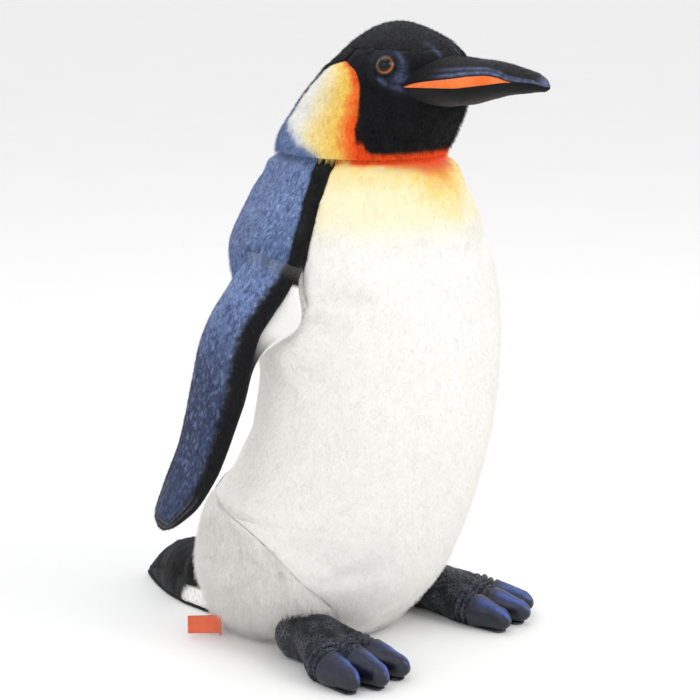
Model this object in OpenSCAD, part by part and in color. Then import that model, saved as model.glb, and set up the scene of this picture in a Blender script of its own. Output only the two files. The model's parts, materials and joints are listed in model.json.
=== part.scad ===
// Stuffed penguin, standing: sewn pile-fabric panels over fibre filling, with a
// weighted base, stuffed flippers, a long beak, cloth feet and safety eyes.
// Frame: +Z up, the bird faces -Y, its own right side is -X, floor at z = 0.

/* [Whole toy] */
// Height of the toy from floor to crown
toy_h = 380; // [340:5:420]

/* [Body] */
// Width of the body across the hips
body_w = 164; // [156:1:170]
// Height of the seam that joins the head to the body
collar_z = 303.5; // [302:0.5:305]
// Clear gap between head and body at that seam
collar_gap = 2.4; // [1.8:0.1:3]

/* [Fabric] */
// Thickness of pile fabric with its backing
cloth = 2.4; // [1.6:0.1:3]
// Gap between two neighbouring panels, in degrees around the body
seam_angle = 0.4; // [0.2:0.1:0.8]
// Gap between the fabric and the filling
loft_gap = 0.5; // [0.3:0.1:0.8]

/* [Head] */
// Diameter of the plastic eye
eye_d = 12; // [10:0.5:14]
// Height of the eye centre
eye_z = 356; // [354:0.5:357]
// Angle of the eye around the head from straight ahead
eye_turn = 66; // [62:1:70]

/* [Flippers] */
// Distance of the shoulder hinge from the middle of the body
hinge_x = 87; // [86:0.5:92]
// Height of the shoulder hinge
hinge_z = 245; // [240:1:248]
// Length of a flipper from hinge to tip
flipper_l = 175; // [150:1:185]
// Outward lean of a resting flipper
flipper_lean = 8; // [6:1:20]
// Backward sweep of a resting flipper
flipper_sweep = 18; // [12:1:24]

/* [Feet] */
// Radius of a toe at its tip
toe_r = 9; // [8:0.5:10]
// Length of the smooth cap on each toe
cap_l = 27; // [20:1:30]

/* [Tail] */
// Farthest point of the tail behind the origin
tail_end = 157.5; // [150:0.5:165]
// Half width of the tail where it leaves the body
tail_half_w = 42; // [36:1:44]

/* [Label] */
// Length of the blank woven label
label_l = 21; // [16:1:28]
// Height of the label
label_h = 12; // [8:1:13]

/* [Hidden] */
$fn = 48;

size_k = toy_h / 380;
width_k = body_w / 164;

// Levels of the body: height, half width, half depth, middle of the depth
body_levels = [
    [0, 48, 50, 19.5], [3, 53, 55, 19.5], [9, 59, 60.5, 18.5], [24, 72, 68, 11],
    [50, 81, 78, 4], [80, 82, 81, -6], [110, 77, 75, -22], [140, 75, 71.5, -33],
    [170, 76, 70, -37.5], [200, 79, 73.5, -34], [230, 79, 77.5, -26.5],
    [255, 72, 74.5, -23.5], [275, 62.5, 68, -23.5], [292, 53, 60, -24.5], [303, 49, 54, -24.5]
];
// Levels of the head, up to the small peak at the crown
head_levels = [
    [303, 49, 54, -24.5], [315, 46.5, 55, -30.5], [325, 44.5, 54, -37], [335, 43, 52, -42.5],
    [345, 41.5, 47, -48], [352, 40, 43, -51], [358, 37, 39, -54], [364, 32, 33.5, -55],
    [370, 25, 26, -54.5], [375, 17, 18, -53.5], [378.5, 8, 8.5, -53], [380, 1.5, 1.5, -53]
];
// Seams as height and angle from straight ahead: front edge of belly, then thigh seam
belly_edge = [
    [3, 38], [16, 38], [28, 42], [40, 51], [52, 62], [64, 73], [74, 84], [84, 103],
    [92, 142], [108, 147], [140, 147], [172, 144], [188, 138], [204, 118], [222, 77.5],
    [238, 78], [254, 76.5], [288, 76], [303, 73]
];
stripe_edge = [[204, 120], [222, 85.5], [238, 86], [254, 84.5], [270, 85], [288, 87], [303, 88]];
back_edge_low = 146;
// Neck patch: its front edge next to the face and its rear edge next to the nape
patch_front = [
    [304, 58], [308, 60], [314, 65], [320, 69.5], [326, 72], [335, 76], [343, 80],
    [349, 85.5], [353, 92], [356, 103], [357.5, 109], [366, 110]
];
patch_back = [
    [304, 140], [320, 140], [343, 138], [349, 135], [353, 129], [356, 119],
    [357.5, 113], [366, 111]
];
patch_top = 357.3;
crown_z = 365;

body_rows = [
    3, 9, 16, 28, 40, 52, 64, 74, 84, 88, 92, 108, 124, 140, 156, 172, 188, 204, 209, 213, 217,
    222, 238, 254, 270, 288, collar_z - collar_gap / 2
];
head_low = collar_z + collar_gap / 2;
head_rows = [head_low, 308, 314, 320, 326, 335, 343, 349, 353, 356];
upper_rows = [357.5, 361, crown_z];
low_rows = [0, 3, 9, 16, 28, 40, 52, 64, 74];

// Beak stations: share of length, y, half width, mouth height, height above, height below
beak_stations = [
    [0, -98, 31, 344, 17, 12.5], [0.2, -107, 21, 344.5, 15.5, 11], [0.45, -121, 13.5, 346.5, 13, 9],
    [0.7, -136, 8.5, 348.5, 8.8, 7.5], [0.88, -148, 6, 348.5, 6.3, 5.6],
    [0.96, -154.5, 4, 347.5, 4, 3.8], [1, -157.5, 1.3, 346.7, 1.3, 1.3]
];
beak_rows = [0, 0.08, 0.2, 0.32, 0.45, 0.58, 0.7, 0.8, 0.88, 0.96, 1];
// Top edge of the orange mouth stripe, as an angle around the beak
stripe_rise = [[0, 3], [0.08, 13], [0.2, 22], [0.32, 25], [0.45, 25], [0.58, 18], [0.7, 6]];
stripe_rows = [0, 0.08, 0.2, 0.32, 0.45, 0.58, 0.7];

// Flipper stations: distance from hinge, front edge, rear edge, thickness
flipper_stations = [
    [0, -30, 5, 11], [10, -28, 9, 14], [22, -24.5, 12.5, 16.5], [40, -20.5, 17, 17.5],
    [55, -22, 18.5, 17.5], [82, -25.5, 15, 16.5], [107, -25.5, 11, 15], [122, -25, 9.5, 13.5],
    [137, -22.5, 10, 12], [150, -19, 10.5, 10.5], [163, -12, 10.5, 8.5], [171, -6, 8.5, 6],
    [175, -1, 4, 2.6]
];
flipper_rows = [2.2, 8, 16, 26, 40, 55, 70, 85, 100, 115, 130, 143, 154, 163, 170, 175];
flipper_k = flipper_l / 175;

// Tail stations: share of length, y, half width, height
tail_stations = [
    [0, 78, 42, 43], [0.25, 98, 34, 38], [0.45, 114, 28.5, 33], [0.7, 134, 18.5, 25],
    [0.82, 143, 13, 18.5], [0.93, 151, 7.5, 11], [1, 157.5, 2.6, 4]
];
tail_rows = [0, 0.12, 0.25, 0.45, 0.6, 0.7, 0.82, 0.93, 1];
tail_k = (tail_end - 78) / (157.5 - 78);

// Toes of a left foot: tip and knuckle centres
toe_tips = [[52, -93, toe_r - 0.5], [71.5, -93.5, toe_r - 0.5], [87, -85, toe_r - 0.5]];
knuckles = [[53, -67, 10.5], [67.5, -68, 11], [81, -60, 10.5]];
knuckle_r = 11;
instep = [61, -42, 15];
instep_r = 16.5;
ankle = [60, -24, 14];
ankle_r = 15;
sole_t = 2;

pouch_r = 38;
pouch_y = 14;
pouch_z = 4;
pouch_h = 25;
pouch_cloth = 0.8;

BLUE = [0.34, 0.42, 0.62];
NAVY = [0.17, 0.2, 0.3];
BLACK = [0.1, 0.1, 0.11];
WHITE = [0.93, 0.93, 0.91];
YELLOW = [0.98, 0.88, 0.5];
ORANGE = [0.97, 0.45, 0.14];
FIBRE = [0.96, 0.96, 0.98];

// ---- smooth curves through hand-chosen stations ----
function mix(a, b, t) = a + (b - a) * t;
function ease(t) = let (s = min(1, max(0, t))) s * s * (3 - 2 * s);
function place(tab, x, i = 0) =
    (i >= len(tab) - 2 || x <= tab[i + 1][0]) ? i : place(tab, x, i + 1);
function rise(tab, i, k) = (tab[i + 1][k] - tab[i][k]) / (tab[i + 1][0] - tab[i][0]);
function tangent(tab, i, k) =
    i == 0 ? rise(tab, 0, k) :
    i == len(tab) - 1 ? rise(tab, i - 1, k) :
    let (a = rise(tab, i - 1, k), b = rise(tab, i, k)) a * b <= 0 ? 0 : 2 * a * b / (a + b);
function along(tab, at, k = 1) =
    let (x = min(tab[len(tab) - 1][0], max(tab[0][0], at)),
         i = place(tab, x), h = tab[i + 1][0] - tab[i][0], t = (x - tab[i][0]) / h,
         t2 = t * t, t3 = t2 * t)
    (2 * t3 - 3 * t2 + 1) * tab[i][k] + (t3 - 2 * t2 + t) * h * tangent(tab, i, k)
    + (3 * t2 - 2 * t3) * tab[i + 1][k] + (t3 - t2) * h * tangent(tab, i + 1, k);

// ---- forms: a point of the skin at a level and an angle, inset by d ----
function half_w(z) = z < 303 ? along(body_levels, z, 1) * width_k : along(head_levels, z, 1);
function half_d(z) = z < 303 ? along(body_levels, z, 2) : along(head_levels, z, 2);
function middle(z) = z < 303 ? along(body_levels, z, 3) : along(head_levels, z, 3);
function skin(z, a, d = 0) = [
    (half_w(z) - d) * sin(a), middle(z) - (half_d(z) - d) * cos(a), z
];
function cut_off(x, r) = sqrt(max(0.02, 1 - (x / r) * (x / r)));
function face_y(x, z) = middle(z) - half_d(z) * cut_off(x, half_w(z));
function rump_y(x, z) = middle(z) + half_d(z) * cut_off(x, half_w(z));

function beak(u, a, d = 0) =
    let (w = max(0.4, along(beak_stations, u, 2) - d),
         up = sin(a) >= 0 ? 4 : 5,
         h = max(0.4, along(beak_stations, u, up) - d),
         x = w * cos(a), z = along(beak_stations, u, 3) + h * sin(a),
         root = face_y(x, z) - 0.5, line = along(beak_stations, u, 1) + d * u)
    [x, mix(root, min(root, line), ease(u / 0.2)), z];

function flipper(s, a, d = 0) =
    let (front = along(flipper_stations, s, 1) + d, rear = along(flipper_stations, s, 2) - d,
         mid = (front + rear) / 2, w = max(0.5, (rear - front) / 2),
         t = max(0.3, along(flipper_stations, s, 3) / 2 - d))
    [-t * sin(a), mid - w * cos(a), -min(s, 175 - d) * flipper_k];

function tail(u, a, d = 0) =
    let (w = max(0.5, along(tail_stations, u, 2) * tail_half_w / 42 - d),
         h = max(0.8, along(tail_stations, u, 3) - d - 2.4),
         x = -w * sign(cos(a)) * pow(abs(cos(a)), 0.85),
         z = 2.4 + h * pow(sin(a), 0.85),
         root = rump_y(x, z) + 0.8,
         line = 78 + (along(tail_stations, u, 1) - 78) * tail_k - d * u)
    [x, mix(root, max(root, line), ease(u / 0.25)), z];

// ---- solids ----
// A fabric panel: the solid between an outer and an inner grid of points
module sheet(outer, inner) {
    n = len(outer);
    m = len(outer[0]);
    o = n * m;
    points = concat([for (row = outer) each row], [for (row = inner) each row]);
    faces = concat(
        [for (i = [0:n - 2], j = [0:m - 2], h = [0, 1])
            let (p = i * m + j) h ? [p, p + m + 1, p + 1] : [p, p + m, p + m + 1]],
        [for (i = [0:n - 2], j = [0:m - 2], h = [0, 1])
            let (p = o + i * m + j) h ? [p, p + 1, p + m + 1] : [p, p + m + 1, p + m]],
        [for (j = [0:m - 2], h = [0, 1])
            h ? [j, o + j + 1, o + j] : [j, j + 1, o + j + 1]],
        [for (j = [0:m - 2], h = [0, 1]) let (p = (n - 1) * m + j)
            h ? [p, o + p, o + p + 1] : [p, o + p + 1, p + 1]],
        [for (i = [0:n - 2], h = [0, 1]) let (p = i * m)
            h ? [p, o + p, o + p + m] : [p, o + p + m, p + m]],
        [for (i = [0:n - 2], h = [0, 1]) let (p = i * m + m - 1)
            h ? [p, o + p + m, o + p] : [p, p + m, o + p + m]]
    );
    polyhedron(points, faces);
}

function centre(ring, i = 0) =
    i == len(ring) - 1 ? ring[i] / len(ring) : ring[i] / len(ring) + centre(ring, i + 1);

// A closed solid through a stack of rings, each end a fan about the ring's centre
module loft(rings) {
    n = len(rings);
    m = len(rings[0]);
    last = (n - 1) * m;
    faces = concat(
        [for (i = [0:n - 2], j = [0:m - 1], h = [0, 1])
            let (p = i * m + j, q = i * m + (j + 1) % m) h ? [p, q + m, q] : [p, p + m, q + m]],
        [for (j = [0:m - 1]) [j, (j + 1) % m, n * m]],
        [for (j = [0:m - 1]) [last + (j + 1) % m, last + j, n * m + 1]]
    );
    polyhedron(concat([for (row = rings) each row], [centre(rings[0]), centre(rings[n - 1])]), faces);
}

// A fabric dome: an outer and an inner stack of rings, open at the first ring
module dome(outer, inner) {
    n = len(outer);
    m = len(outer[0]);
    o = n * m;
    faces = concat(
        [for (i = [0:n - 2], j = [0:m - 1], h = [0, 1])
            let (p = i * m + j, q = i * m + (j + 1) % m) h ? [p, q + m, q] : [p, p + m, q + m]],
        [for (i = [0:n - 2], j = [0:m - 1], h = [0, 1])
            let (p = o + i * m + j, q = o + i * m + (j + 1) % m)
            h ? [p, q, q + m] : [p, q + m, p + m]],
        [[for (j = [m - 1:-1:0]) (n - 1) * m + j], [for (j = [0:m - 1]) o + (n - 1) * m + j]],
        [for (j = [0:m - 1], h = [0, 1]) let (q = (j + 1) % m)
            h ? [j, q, o + q] : [j, o + q, o + j]]
    );
    polyhedron(concat([for (r = outer) each r], [for (r = inner) each r]), faces);
}

// A panel of any of the forms between two edges, which are functions of the level
module panel(form, rows, from, to, cols, t = cloth) {
    function grid(d) = [for (u = rows) [for (j = [0:cols])
        form(u, mix(from(u), to(u), j / cols), d)]];
    sheet(grid(0), grid(t));
}

function ring(form, u, d, n) = [for (j = [0:n - 1]) form(u, 360 * j / n, d)];
module stuffing(form, rows, d, n) {
    loft([for (u = rows) ring(form, u, d, n)]);
}

trunk_form = function (z, a, d) skin(z, a, d);
beak_form = function (u, a, d) beak(u, a, d);
flipper_form = function (s, a, d) flipper(s, a, d);
tail_form = function (u, a, d) tail(u, a, d);

// The room that the body or head takes between the given levels, with a little clearance
module skin_space(rows) stuffing(trunk_form, rows, -1.2, 24);

module toy() { scale(size_k) children(); }
module other_side() { mirror([1, 0, 0]) children(); }
// Both sides of the toy are mirror images: side = -1 is the bird's right, 1 its left
module on_side(side) {
    if (side < 0) other_side() children();
    else children();
}

// ---- body ----
module base_panel() color(WHITE) toy() linear_extrude(cloth)
    polygon([for (j = [0:47]) let (p = skin(0.01, 7.5 * j, 0.3)) [p.x, p.y]]);

module belly_panel() color(WHITE) toy()
    panel(trunk_form, body_rows, function (z) -along(belly_edge, z) + seam_angle / 2,
        function (z) along(belly_edge, z) - seam_angle / 2, 24);

module back_panel() color(BLUE) toy()
    panel(trunk_form, body_rows,
        function (z) (z < 100 ? back_edge_low : z < 205 ? along(belly_edge, z) + 2
            : along(stripe_edge, z)) + seam_angle / 2,
        function (z) 360 - (z < 100 ? back_edge_low : z < 205 ? along(belly_edge, z) + 2
            : along(stripe_edge, z)) - seam_angle / 2, 14);

module side_stripe(side) color(BLACK) toy() on_side(side)
    panel(trunk_form, [for (z = body_rows) if (z > 203) z],
        function (z) along(belly_edge, z) + seam_angle / 2,
        function (z) along(stripe_edge, z) - seam_angle / 2 - 0.1, 2);

module thigh_panel(side) color(WHITE) toy() on_side(side)
    panel(trunk_form, [for (z = body_rows) if (z < 93) z],
        function (z) along(belly_edge, z) + seam_angle / 2,
        function (z) back_edge_low - seam_angle / 2, 9);

body_fill_rows = [for (z = body_rows) if (z > 30) z];
module body_filling() color(FIBRE) toy()
    stuffing(trunk_form, body_fill_rows, cloth + loft_gap + 2, 28);

module pouch_half(top) color([0.85, 0.85, 0.8]) toy()
    translate([0, pouch_y, pouch_z + pouch_h / 2]) mirror([0, 0, top ? 0 : 1])
    rotate_extrude() difference() {
        translate([0, 0.1]) square([pouch_r, pouch_h / 2 - 0.1]);
        translate([-1, -1]) square([pouch_r + 1 - 2 * pouch_cloth, pouch_h / 2 + 1 - pouch_cloth]);
    }

module pellet_fill() color([0.9, 0.9, 0.9]) toy()
    translate([0, pouch_y, pouch_z + pouch_cloth + 0.3])
    cylinder(r = pouch_r - 2 * pouch_cloth - 0.4, h = pouch_h - 2 * pouch_cloth - 0.6);

// Ring of woven tape that ties the head to the body; the head turns about its axis
tape_r = 44;
tape_t = 1.6;
module collar_seam() color(BLACK) toy()
    translate([0, middle(303), collar_z - collar_gap / 2 + 0.05]) difference() {
        cylinder(r = tape_r, h = tape_t);
        translate([0, 0, -1]) cylinder(r = tape_r - tape_t, h = tape_t + 2);
    }

// ---- flippers ----
module at_shoulder() translate([-hinge_x, -16, hinge_z]) rotate([flipper_sweep, 0, 0])
    children();
module hang() rotate([0, flipper_lean, 0]) children();
seam_r = 1.2;
// Sewn hem at the shoulder: the flipper swings about the rolled thread at its edge
module shoulder_seam(side) color(NAVY) toy() on_side(-side) difference() {
    at_shoulder() {
        translate([0, -27, 0]) rotate([-90, 0, 0]) cylinder(r = seam_r, h = 29);
        rotate([0, -20, 0]) translate([0, -27, -0.5]) cube([16, 29, 1]);
    }
    skin_space([200, 222, 238, 254, 270, 288]);
}

module flipper_side(side, from, to) toy() on_side(-side) at_shoulder() hang()
    panel(flipper_form, flipper_rows, function (s) from, function (s) to, 7);
module flipper_outer_panel(side) color(BLUE) flipper_side(side, 0.8, 179.2);
module flipper_inner_panel(side) color(WHITE) flipper_side(side, 180.8, 359.2);
module flipper_filling(side) color(FIBRE) toy() on_side(-side) at_shoulder() hang()
    stuffing(flipper_form, [for (s = flipper_rows) if (s > 6 && s < 171) s],
        cloth + 0.35, 16);

// ---- tail ----
module tail_top_panel() color(BLACK) toy()
    panel(tail_form, tail_rows, function (u) 1, function (u) 179, 14);
tail_sole = concat(
    [for (u = tail_rows) let (p = tail(u, 180, 0.2)) [p.x, p.y]],
    [for (i = [len(tail_rows) - 1:-1:0]) let (p = tail(tail_rows[i], 0, 0.2)) [p.x, p.y]],
    [for (x = [-30:10:30]) [x, rump_y(x, 2.2) + 0.5]]
);
module tail_underside() color(BLACK) toy() linear_extrude(2.1) polygon(tail_sole);
// The half ring of the tail, flat where it starts inside the rump
tail_core = function (u, a, d) let (p = tail(u, a * 9 / 17, d)) [p.x, u > 0 ? p.y : 50, p.z];
module tail_filling() color(FIBRE) toy() difference() {
    stuffing(tail_core, tail_rows, cloth + loft_gap, 18);
    skin_space(low_rows);
}

// ---- feet ----
module ball(p, r, n = 16) translate(p) sphere(r, $fn = n);
module toe(i, d, n = 16) hull() {
    ball(toe_tips[i], toe_r - d, n);
    ball(knuckles[i], knuckle_r - d, n);
}
module foot_form(d, n = 16) {
    for (i = [0:2]) {
        toe(i, d, n);
        hull() {
            ball(knuckles[i], knuckle_r - d, n);
            ball(instep, instep_r - d, n);
        }
    }
    hull() {
        ball(instep, instep_r - d, n);
        ball(ankle, ankle_r - d, n);
    }
}
module above(z) translate([0, -120, z]) cube([120, 160, 60]);
// Everything of toe i that lies ahead of the seam where its cap begins
module cap_space(i, extra) {
    v = toe_tips[i] - knuckles[i];
    translate([toe_tips[i].x, toe_tips[i].y, 0]) rotate([0, 0, atan2(v.y, v.x)])
        translate([toe_r - cap_l - extra, -toe_r - 3, -1]) cube([60, 2 * toe_r + 6, 40]);
}
module toe_cap(side, i) color(NAVY) toy() on_side(side) difference() {
    intersection() {
        toe(i, 0);
        cap_space(i, 0);
        above(sole_t + 0.2);
    }
    toe(i, cloth - 0.4);
    if (i > 0) toe(i - 1, -0.15);
}
// The open underside of the foot, which the sole closes
module foot_mouth() linear_extrude(9) hull() {
    for (k = knuckles) translate([k.x, k.y - 5]) circle(6);
    translate([instep.x, instep.y]) circle(9);
}
module foot_upper(side) color(NAVY) toy() on_side(side) difference() {
    intersection() {
        foot_form(0);
        above(sole_t + 0.2);
    }
    foot_form(cloth - 0.4);
    foot_mouth();
    for (i = [0:2]) intersection() {
        toe(i, -0.4);
        cap_space(i, 0.3);
    }
    skin_space(low_rows);
}
module foot_filling(side) color(FIBRE) toy() on_side(side) difference() {
    intersection() {
        foot_form(cloth + 0.1, 12);
        above(sole_t + 0.4);
    }
    skin_space(low_rows);
    for (i = [0, 1]) difference() {
        intersection() {
            toe(i, -0.15);
            cap_space(i, 0.3);
        }
        toe(i, cloth);
    }
}
module foot_sole(side) color(BLACK) toy() on_side(side) difference() {
    linear_extrude(sole_t) for (i = [0:2]) {
        hull() {
            translate([toe_tips[i].x, toe_tips[i].y]) circle(toe_r - 3);
            translate([knuckles[i].x, knuckles[i].y]) circle(knuckle_r - 3.5);
        }
        hull() {
            translate([knuckles[i].x, knuckles[i].y]) circle(knuckle_r - 3.5);
            translate([instep.x, instep.y]) circle(instep_r - 8);
        }
    }
    skin_space(low_rows);
}

// ---- label ----
label_turn = 129;
label_root = skin(15, -107, -2.4);
module at_label() translate([label_root.x, label_root.y, 0]) rotate([0, 0, label_turn])
    children();
pin_r = 0.6;
module label_stitching() color(WHITE) toy() at_label()
    translate([0, 0, 1.6]) cylinder(r = pin_r, h = label_h + 3);
module woven_label() color(ORANGE) toy() at_label() translate([0, 0, 2.2]) difference() {
    union() {
        cylinder(r = pin_r + 0.75, h = label_h);
        translate([0, -0.4, 0]) cube([label_l, 0.8, label_h]);
    }
    translate([0, 0, -1]) cylinder(r = pin_r + 0.15, h = label_h + 2);
}

// ---- head ----
module cheek_panel(side) color(BLACK) toy() on_side(side) difference() {
    panel(trunk_form, concat(head_rows, upper_rows), function (z) seam_angle / 2,
        function (z) along(patch_front, z) - seam_angle, 10);
    at_eye() translate([0, 0, -8]) cylinder(r = shank_r + 0.3, h = 16);
}
module neck_patch(side) color(YELLOW) toy() on_side(side)
    panel(trunk_form, concat(head_rows, [patch_top]),
        function (z) along(patch_front, z) + seam_angle / 2,
        function (z) along(patch_back, z) - seam_angle / 2, 7);
module nape_panel() color(BLACK) toy()
    panel(trunk_form, concat(head_rows, upper_rows),
        function (z) along(patch_back, z) + seam_angle,
        function (z) 360 - along(patch_back, z) - seam_angle, 10);
crown_rows = [crown_z + 0.3, 368, 371, 374, 376.5, 378.5, 380];
function crown_drop(i) = cloth * ease(i / 3);
module crown_panel() color(BLACK) toy() dome(
    [for (z = crown_rows) ring(trunk_form, z, 0, 24)],
    [for (i = [0:6]) let (z = crown_rows[i], k = max(0.6, half_w(z) - cloth) / half_w(z))
        [for (p = ring(trunk_form, z, 0, 24))
            [p.x * k, middle(z) + (p.y - middle(z)) * k, z - crown_drop(i)]]]
);
// The crown of the filling is rounder and lower than the fabric over it
head_core = function (z, a, d) let (up = max(0, z - 361), p = skin(z, a, d + 0.9 * up))
    [p.x, p.y, z - 3 * ease(up / 6)];
module head_filling() color(FIBRE) toy() difference() {
    stuffing(head_core, concat(head_rows, [361, 365, 369, 372]), cloth + loft_gap, 24);
    for (side = [-1, 1]) on_side(side) at_eye() {
        translate([0, 0, -6.2]) cylinder(r = washer_r + 0.8, h = 12);
        translate([0, 0, -shank_l - 1]) cylinder(r = shank_r + 0.8, h = 12);
    }
}

// ---- beak ----
module upper_beak_panel() color(BLACK) toy()
    panel(beak_form, beak_rows,
        function (u) u > 0.7 ? 1.5 : along(stripe_rise, u) + 1.2,
        function (u) 180 - (u > 0.7 ? 1.5 : along(stripe_rise, u) + 1.2), 12, 1.8);
module beak_stripe(side) color(ORANGE) toy() on_side(side)
    panel(beak_form, stripe_rows, function (u) 1, function (u) along(stripe_rise, u), 3, 1.8);
module lower_beak_panel() color(BLACK) toy()
    panel(beak_form, beak_rows, function (u) 181, function (u) 359, 12, 1.8);
beak_core = function (u, a, d) let (p = beak(u, a, d)) [p.x, u > 0 ? p.y : -70, p.z];
module beak_filling() color(FIBRE) toy() difference() {
    stuffing(beak_core, [for (u = beak_rows) if (u < 0.9) u], 2.4, 20);
    skin_space([315, 325, 335, 345, 352, 358, 364]);
}

// ---- eyes ----
eye_r = eye_d / 2;
eye_spot = skin(eye_z, eye_turn);
shank_r = 1.8;
shank_l = 9;
washer_r = 7;
washer_t = 1.2;
function unit(v) = v / norm(v);
eye_out = unit(cross(skin(eye_z, eye_turn + 1) - skin(eye_z, eye_turn - 1),
    skin(eye_z + 1, eye_turn) - skin(eye_z - 1, eye_turn)));
module at_eye() translate(eye_spot + 0.5 * eye_out)
    rotate([0, acos(eye_out.z), atan2(eye_out.y, eye_out.x)]) children();
dome_h = 4.2;
dome_r = (eye_r * eye_r + dome_h * dome_h) / (2 * dome_h);
module eye(side) color([0.08, 0.05, 0.03]) toy() on_side(side) at_eye() {
    intersection() {
        translate([0, 0, dome_h - dome_r]) sphere(dome_r);
        cylinder(r = eye_r + 1, h = dome_h + 1);
    }
    translate([0, 0, -shank_l]) cylinder(r = shank_r, h = shank_l + 0.5);
}
module eye_washer(side) color(WHITE) toy() on_side(side) at_eye()
    translate([0, 0, -5.6]) difference() {
        cylinder(r = washer_r, h = washer_t);
        translate([0, 0, -1]) cylinder(r = shank_r + 0.05, h = washer_t + 2);
    }

base_panel();
belly_panel();
back_panel();
side_stripe(-1);  // right_side_stripe
side_stripe(1);  // left_side_stripe
thigh_panel(-1);  // right_thigh_panel
thigh_panel(1);  // left_thigh_panel
body_filling();
pouch_half(true);  // pellet_pouch_top
pouch_half(false);  // pellet_pouch_bottom
pellet_fill();
collar_seam();
shoulder_seam(-1);  // right_shoulder_seam
shoulder_seam(1);  // left_shoulder_seam
tail_top_panel();
tail_underside();
tail_filling();
foot_upper(-1);  // right_foot_upper
foot_sole(-1);  // right_foot_sole
foot_filling(-1);  // right_foot_filling
toe_cap(-1, 0);  // right_inner_toe_cap
toe_cap(-1, 1);  // right_middle_toe_cap
toe_cap(-1, 2);  // right_outer_toe_cap
foot_upper(1);  // left_foot_upper
foot_sole(1);  // left_foot_sole
foot_filling(1);  // left_foot_filling
toe_cap(1, 0);  // left_inner_toe_cap
toe_cap(1, 1);  // left_middle_toe_cap
toe_cap(1, 2);  // left_outer_toe_cap
label_stitching();
woven_label();
cheek_panel(-1);  // right_cheek_panel
cheek_panel(1);  // left_cheek_panel
neck_patch(-1);  // right_neck_patch
neck_patch(1);  // left_neck_patch
nape_panel();
crown_panel();
head_filling();
upper_beak_panel();
beak_stripe(-1);  // right_beak_stripe
beak_stripe(1);  // left_beak_stripe
lower_beak_panel();
beak_filling();
eye(-1);  // right_eye
eye(1);  // left_eye
eye_washer(-1);  // right_eye_washer
eye_washer(1);  // left_eye_washer
flipper_outer_panel(-1);  // right_flipper_outer_panel
flipper_inner_panel(-1);  // right_flipper_inner_panel
flipper_filling(-1);  // right_flipper_filling
flipper_outer_panel(1);  // left_flipper_outer_panel
flipper_inner_panel(1);  // left_flipper_inner_panel
flipper_filling(1);  // left_flipper_filling
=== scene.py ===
"""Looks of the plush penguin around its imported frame: sewn pile panels, stuffed limbs, studio."""
import json
import math

import bmesh
import bpy
import numpy as np
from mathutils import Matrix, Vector
from mathutils.kdtree import KDTree


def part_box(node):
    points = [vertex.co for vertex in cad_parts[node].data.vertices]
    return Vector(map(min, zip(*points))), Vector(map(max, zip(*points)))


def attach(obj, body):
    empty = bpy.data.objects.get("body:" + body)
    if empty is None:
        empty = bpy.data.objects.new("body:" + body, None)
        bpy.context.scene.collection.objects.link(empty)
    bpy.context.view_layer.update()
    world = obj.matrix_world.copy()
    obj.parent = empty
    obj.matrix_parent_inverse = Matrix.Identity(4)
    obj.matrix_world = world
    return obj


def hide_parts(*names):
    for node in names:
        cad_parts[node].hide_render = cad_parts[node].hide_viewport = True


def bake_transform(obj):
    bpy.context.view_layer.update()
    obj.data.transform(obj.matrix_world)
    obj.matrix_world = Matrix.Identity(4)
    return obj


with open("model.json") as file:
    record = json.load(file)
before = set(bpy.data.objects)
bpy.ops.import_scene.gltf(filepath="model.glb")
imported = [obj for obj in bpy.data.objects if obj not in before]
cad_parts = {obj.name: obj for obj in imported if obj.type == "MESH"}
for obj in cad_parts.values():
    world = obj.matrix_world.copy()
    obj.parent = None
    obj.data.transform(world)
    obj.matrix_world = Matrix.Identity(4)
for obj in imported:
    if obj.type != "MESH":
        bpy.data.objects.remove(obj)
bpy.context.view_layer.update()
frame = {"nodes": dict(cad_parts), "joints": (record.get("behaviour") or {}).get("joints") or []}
MM = 0.001
DEG = 57.3  # degrees in a radian
NECK = 303  # height where the trunk's sections end and the head's begin
SKIN_R = 50  # mean radius of the head, to turn an angle into a length
RIGHT, LEFT = -1, 1
SCENE = bpy.context.scene

# ------------------------------------------------------------------ tables, in millimetres
BODY = [
    [0, 48, 50, 19.5], [3, 53, 55, 19.5], [9, 59, 60.5, 18.5], [24, 72, 68, 11],
    [50, 81, 78, 4], [80, 82, 81, -6], [110, 77, 75, -22], [140, 75, 71.5, -33],
    [170, 76, 70, -37.5], [200, 79, 73.5, -34], [230, 79, 77.5, -26.5],
    [255, 72, 74.5, -23.5], [275, 62.5, 68, -23.5], [292, 53, 60, -24.5], [303, 49, 54, -24.5],
]
HEAD = [
    [303, 49, 54, -24.5], [315, 46.5, 55, -30.5], [325, 44.5, 54, -37], [335, 43, 52, -42.5],
    [345, 41.5, 47, -48], [352, 40, 43, -51], [358, 37, 39, -54], [364, 32, 33.5, -55],
    [370, 25, 26, -54.5], [375, 17, 18, -53.5], [378.5, 8, 8.5, -53], [380, 1.5, 1.5, -53],
]
BELLY_EDGE = [
    [0, 38], [16, 38], [28, 42], [40, 51], [52, 62], [64, 73], [74, 84], [84, 103],
    [92, 149], [108, 152], [140, 152], [172, 149], [188, 142], [204, 120], [222, 77.5],
    [238, 78], [254, 76.5], [288, 76], [303, 73],
]
STRIPE_EDGE = [[204, 120], [222, 85.5], [238, 86], [254, 84.5], [270, 85], [288, 87], [303, 88]]
THIGH_BACK = 149
PATCH_FRONT = [
    [303, 57], [308, 60], [314, 65], [320, 69.5], [326, 72], [335, 76], [343, 80],
    [349, 85.5], [353, 92], [356, 103], [357.5, 109], [366, 110],
]
PATCH_BACK = [
    [303, 140], [320, 140], [343, 138], [349, 135], [353, 129], [356, 119],
    [357.5, 113], [366, 111],
]
PATCH_TOP = 357.3
NECK_TOP, HOOD_EDGE = 303.6, 302.4
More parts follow.
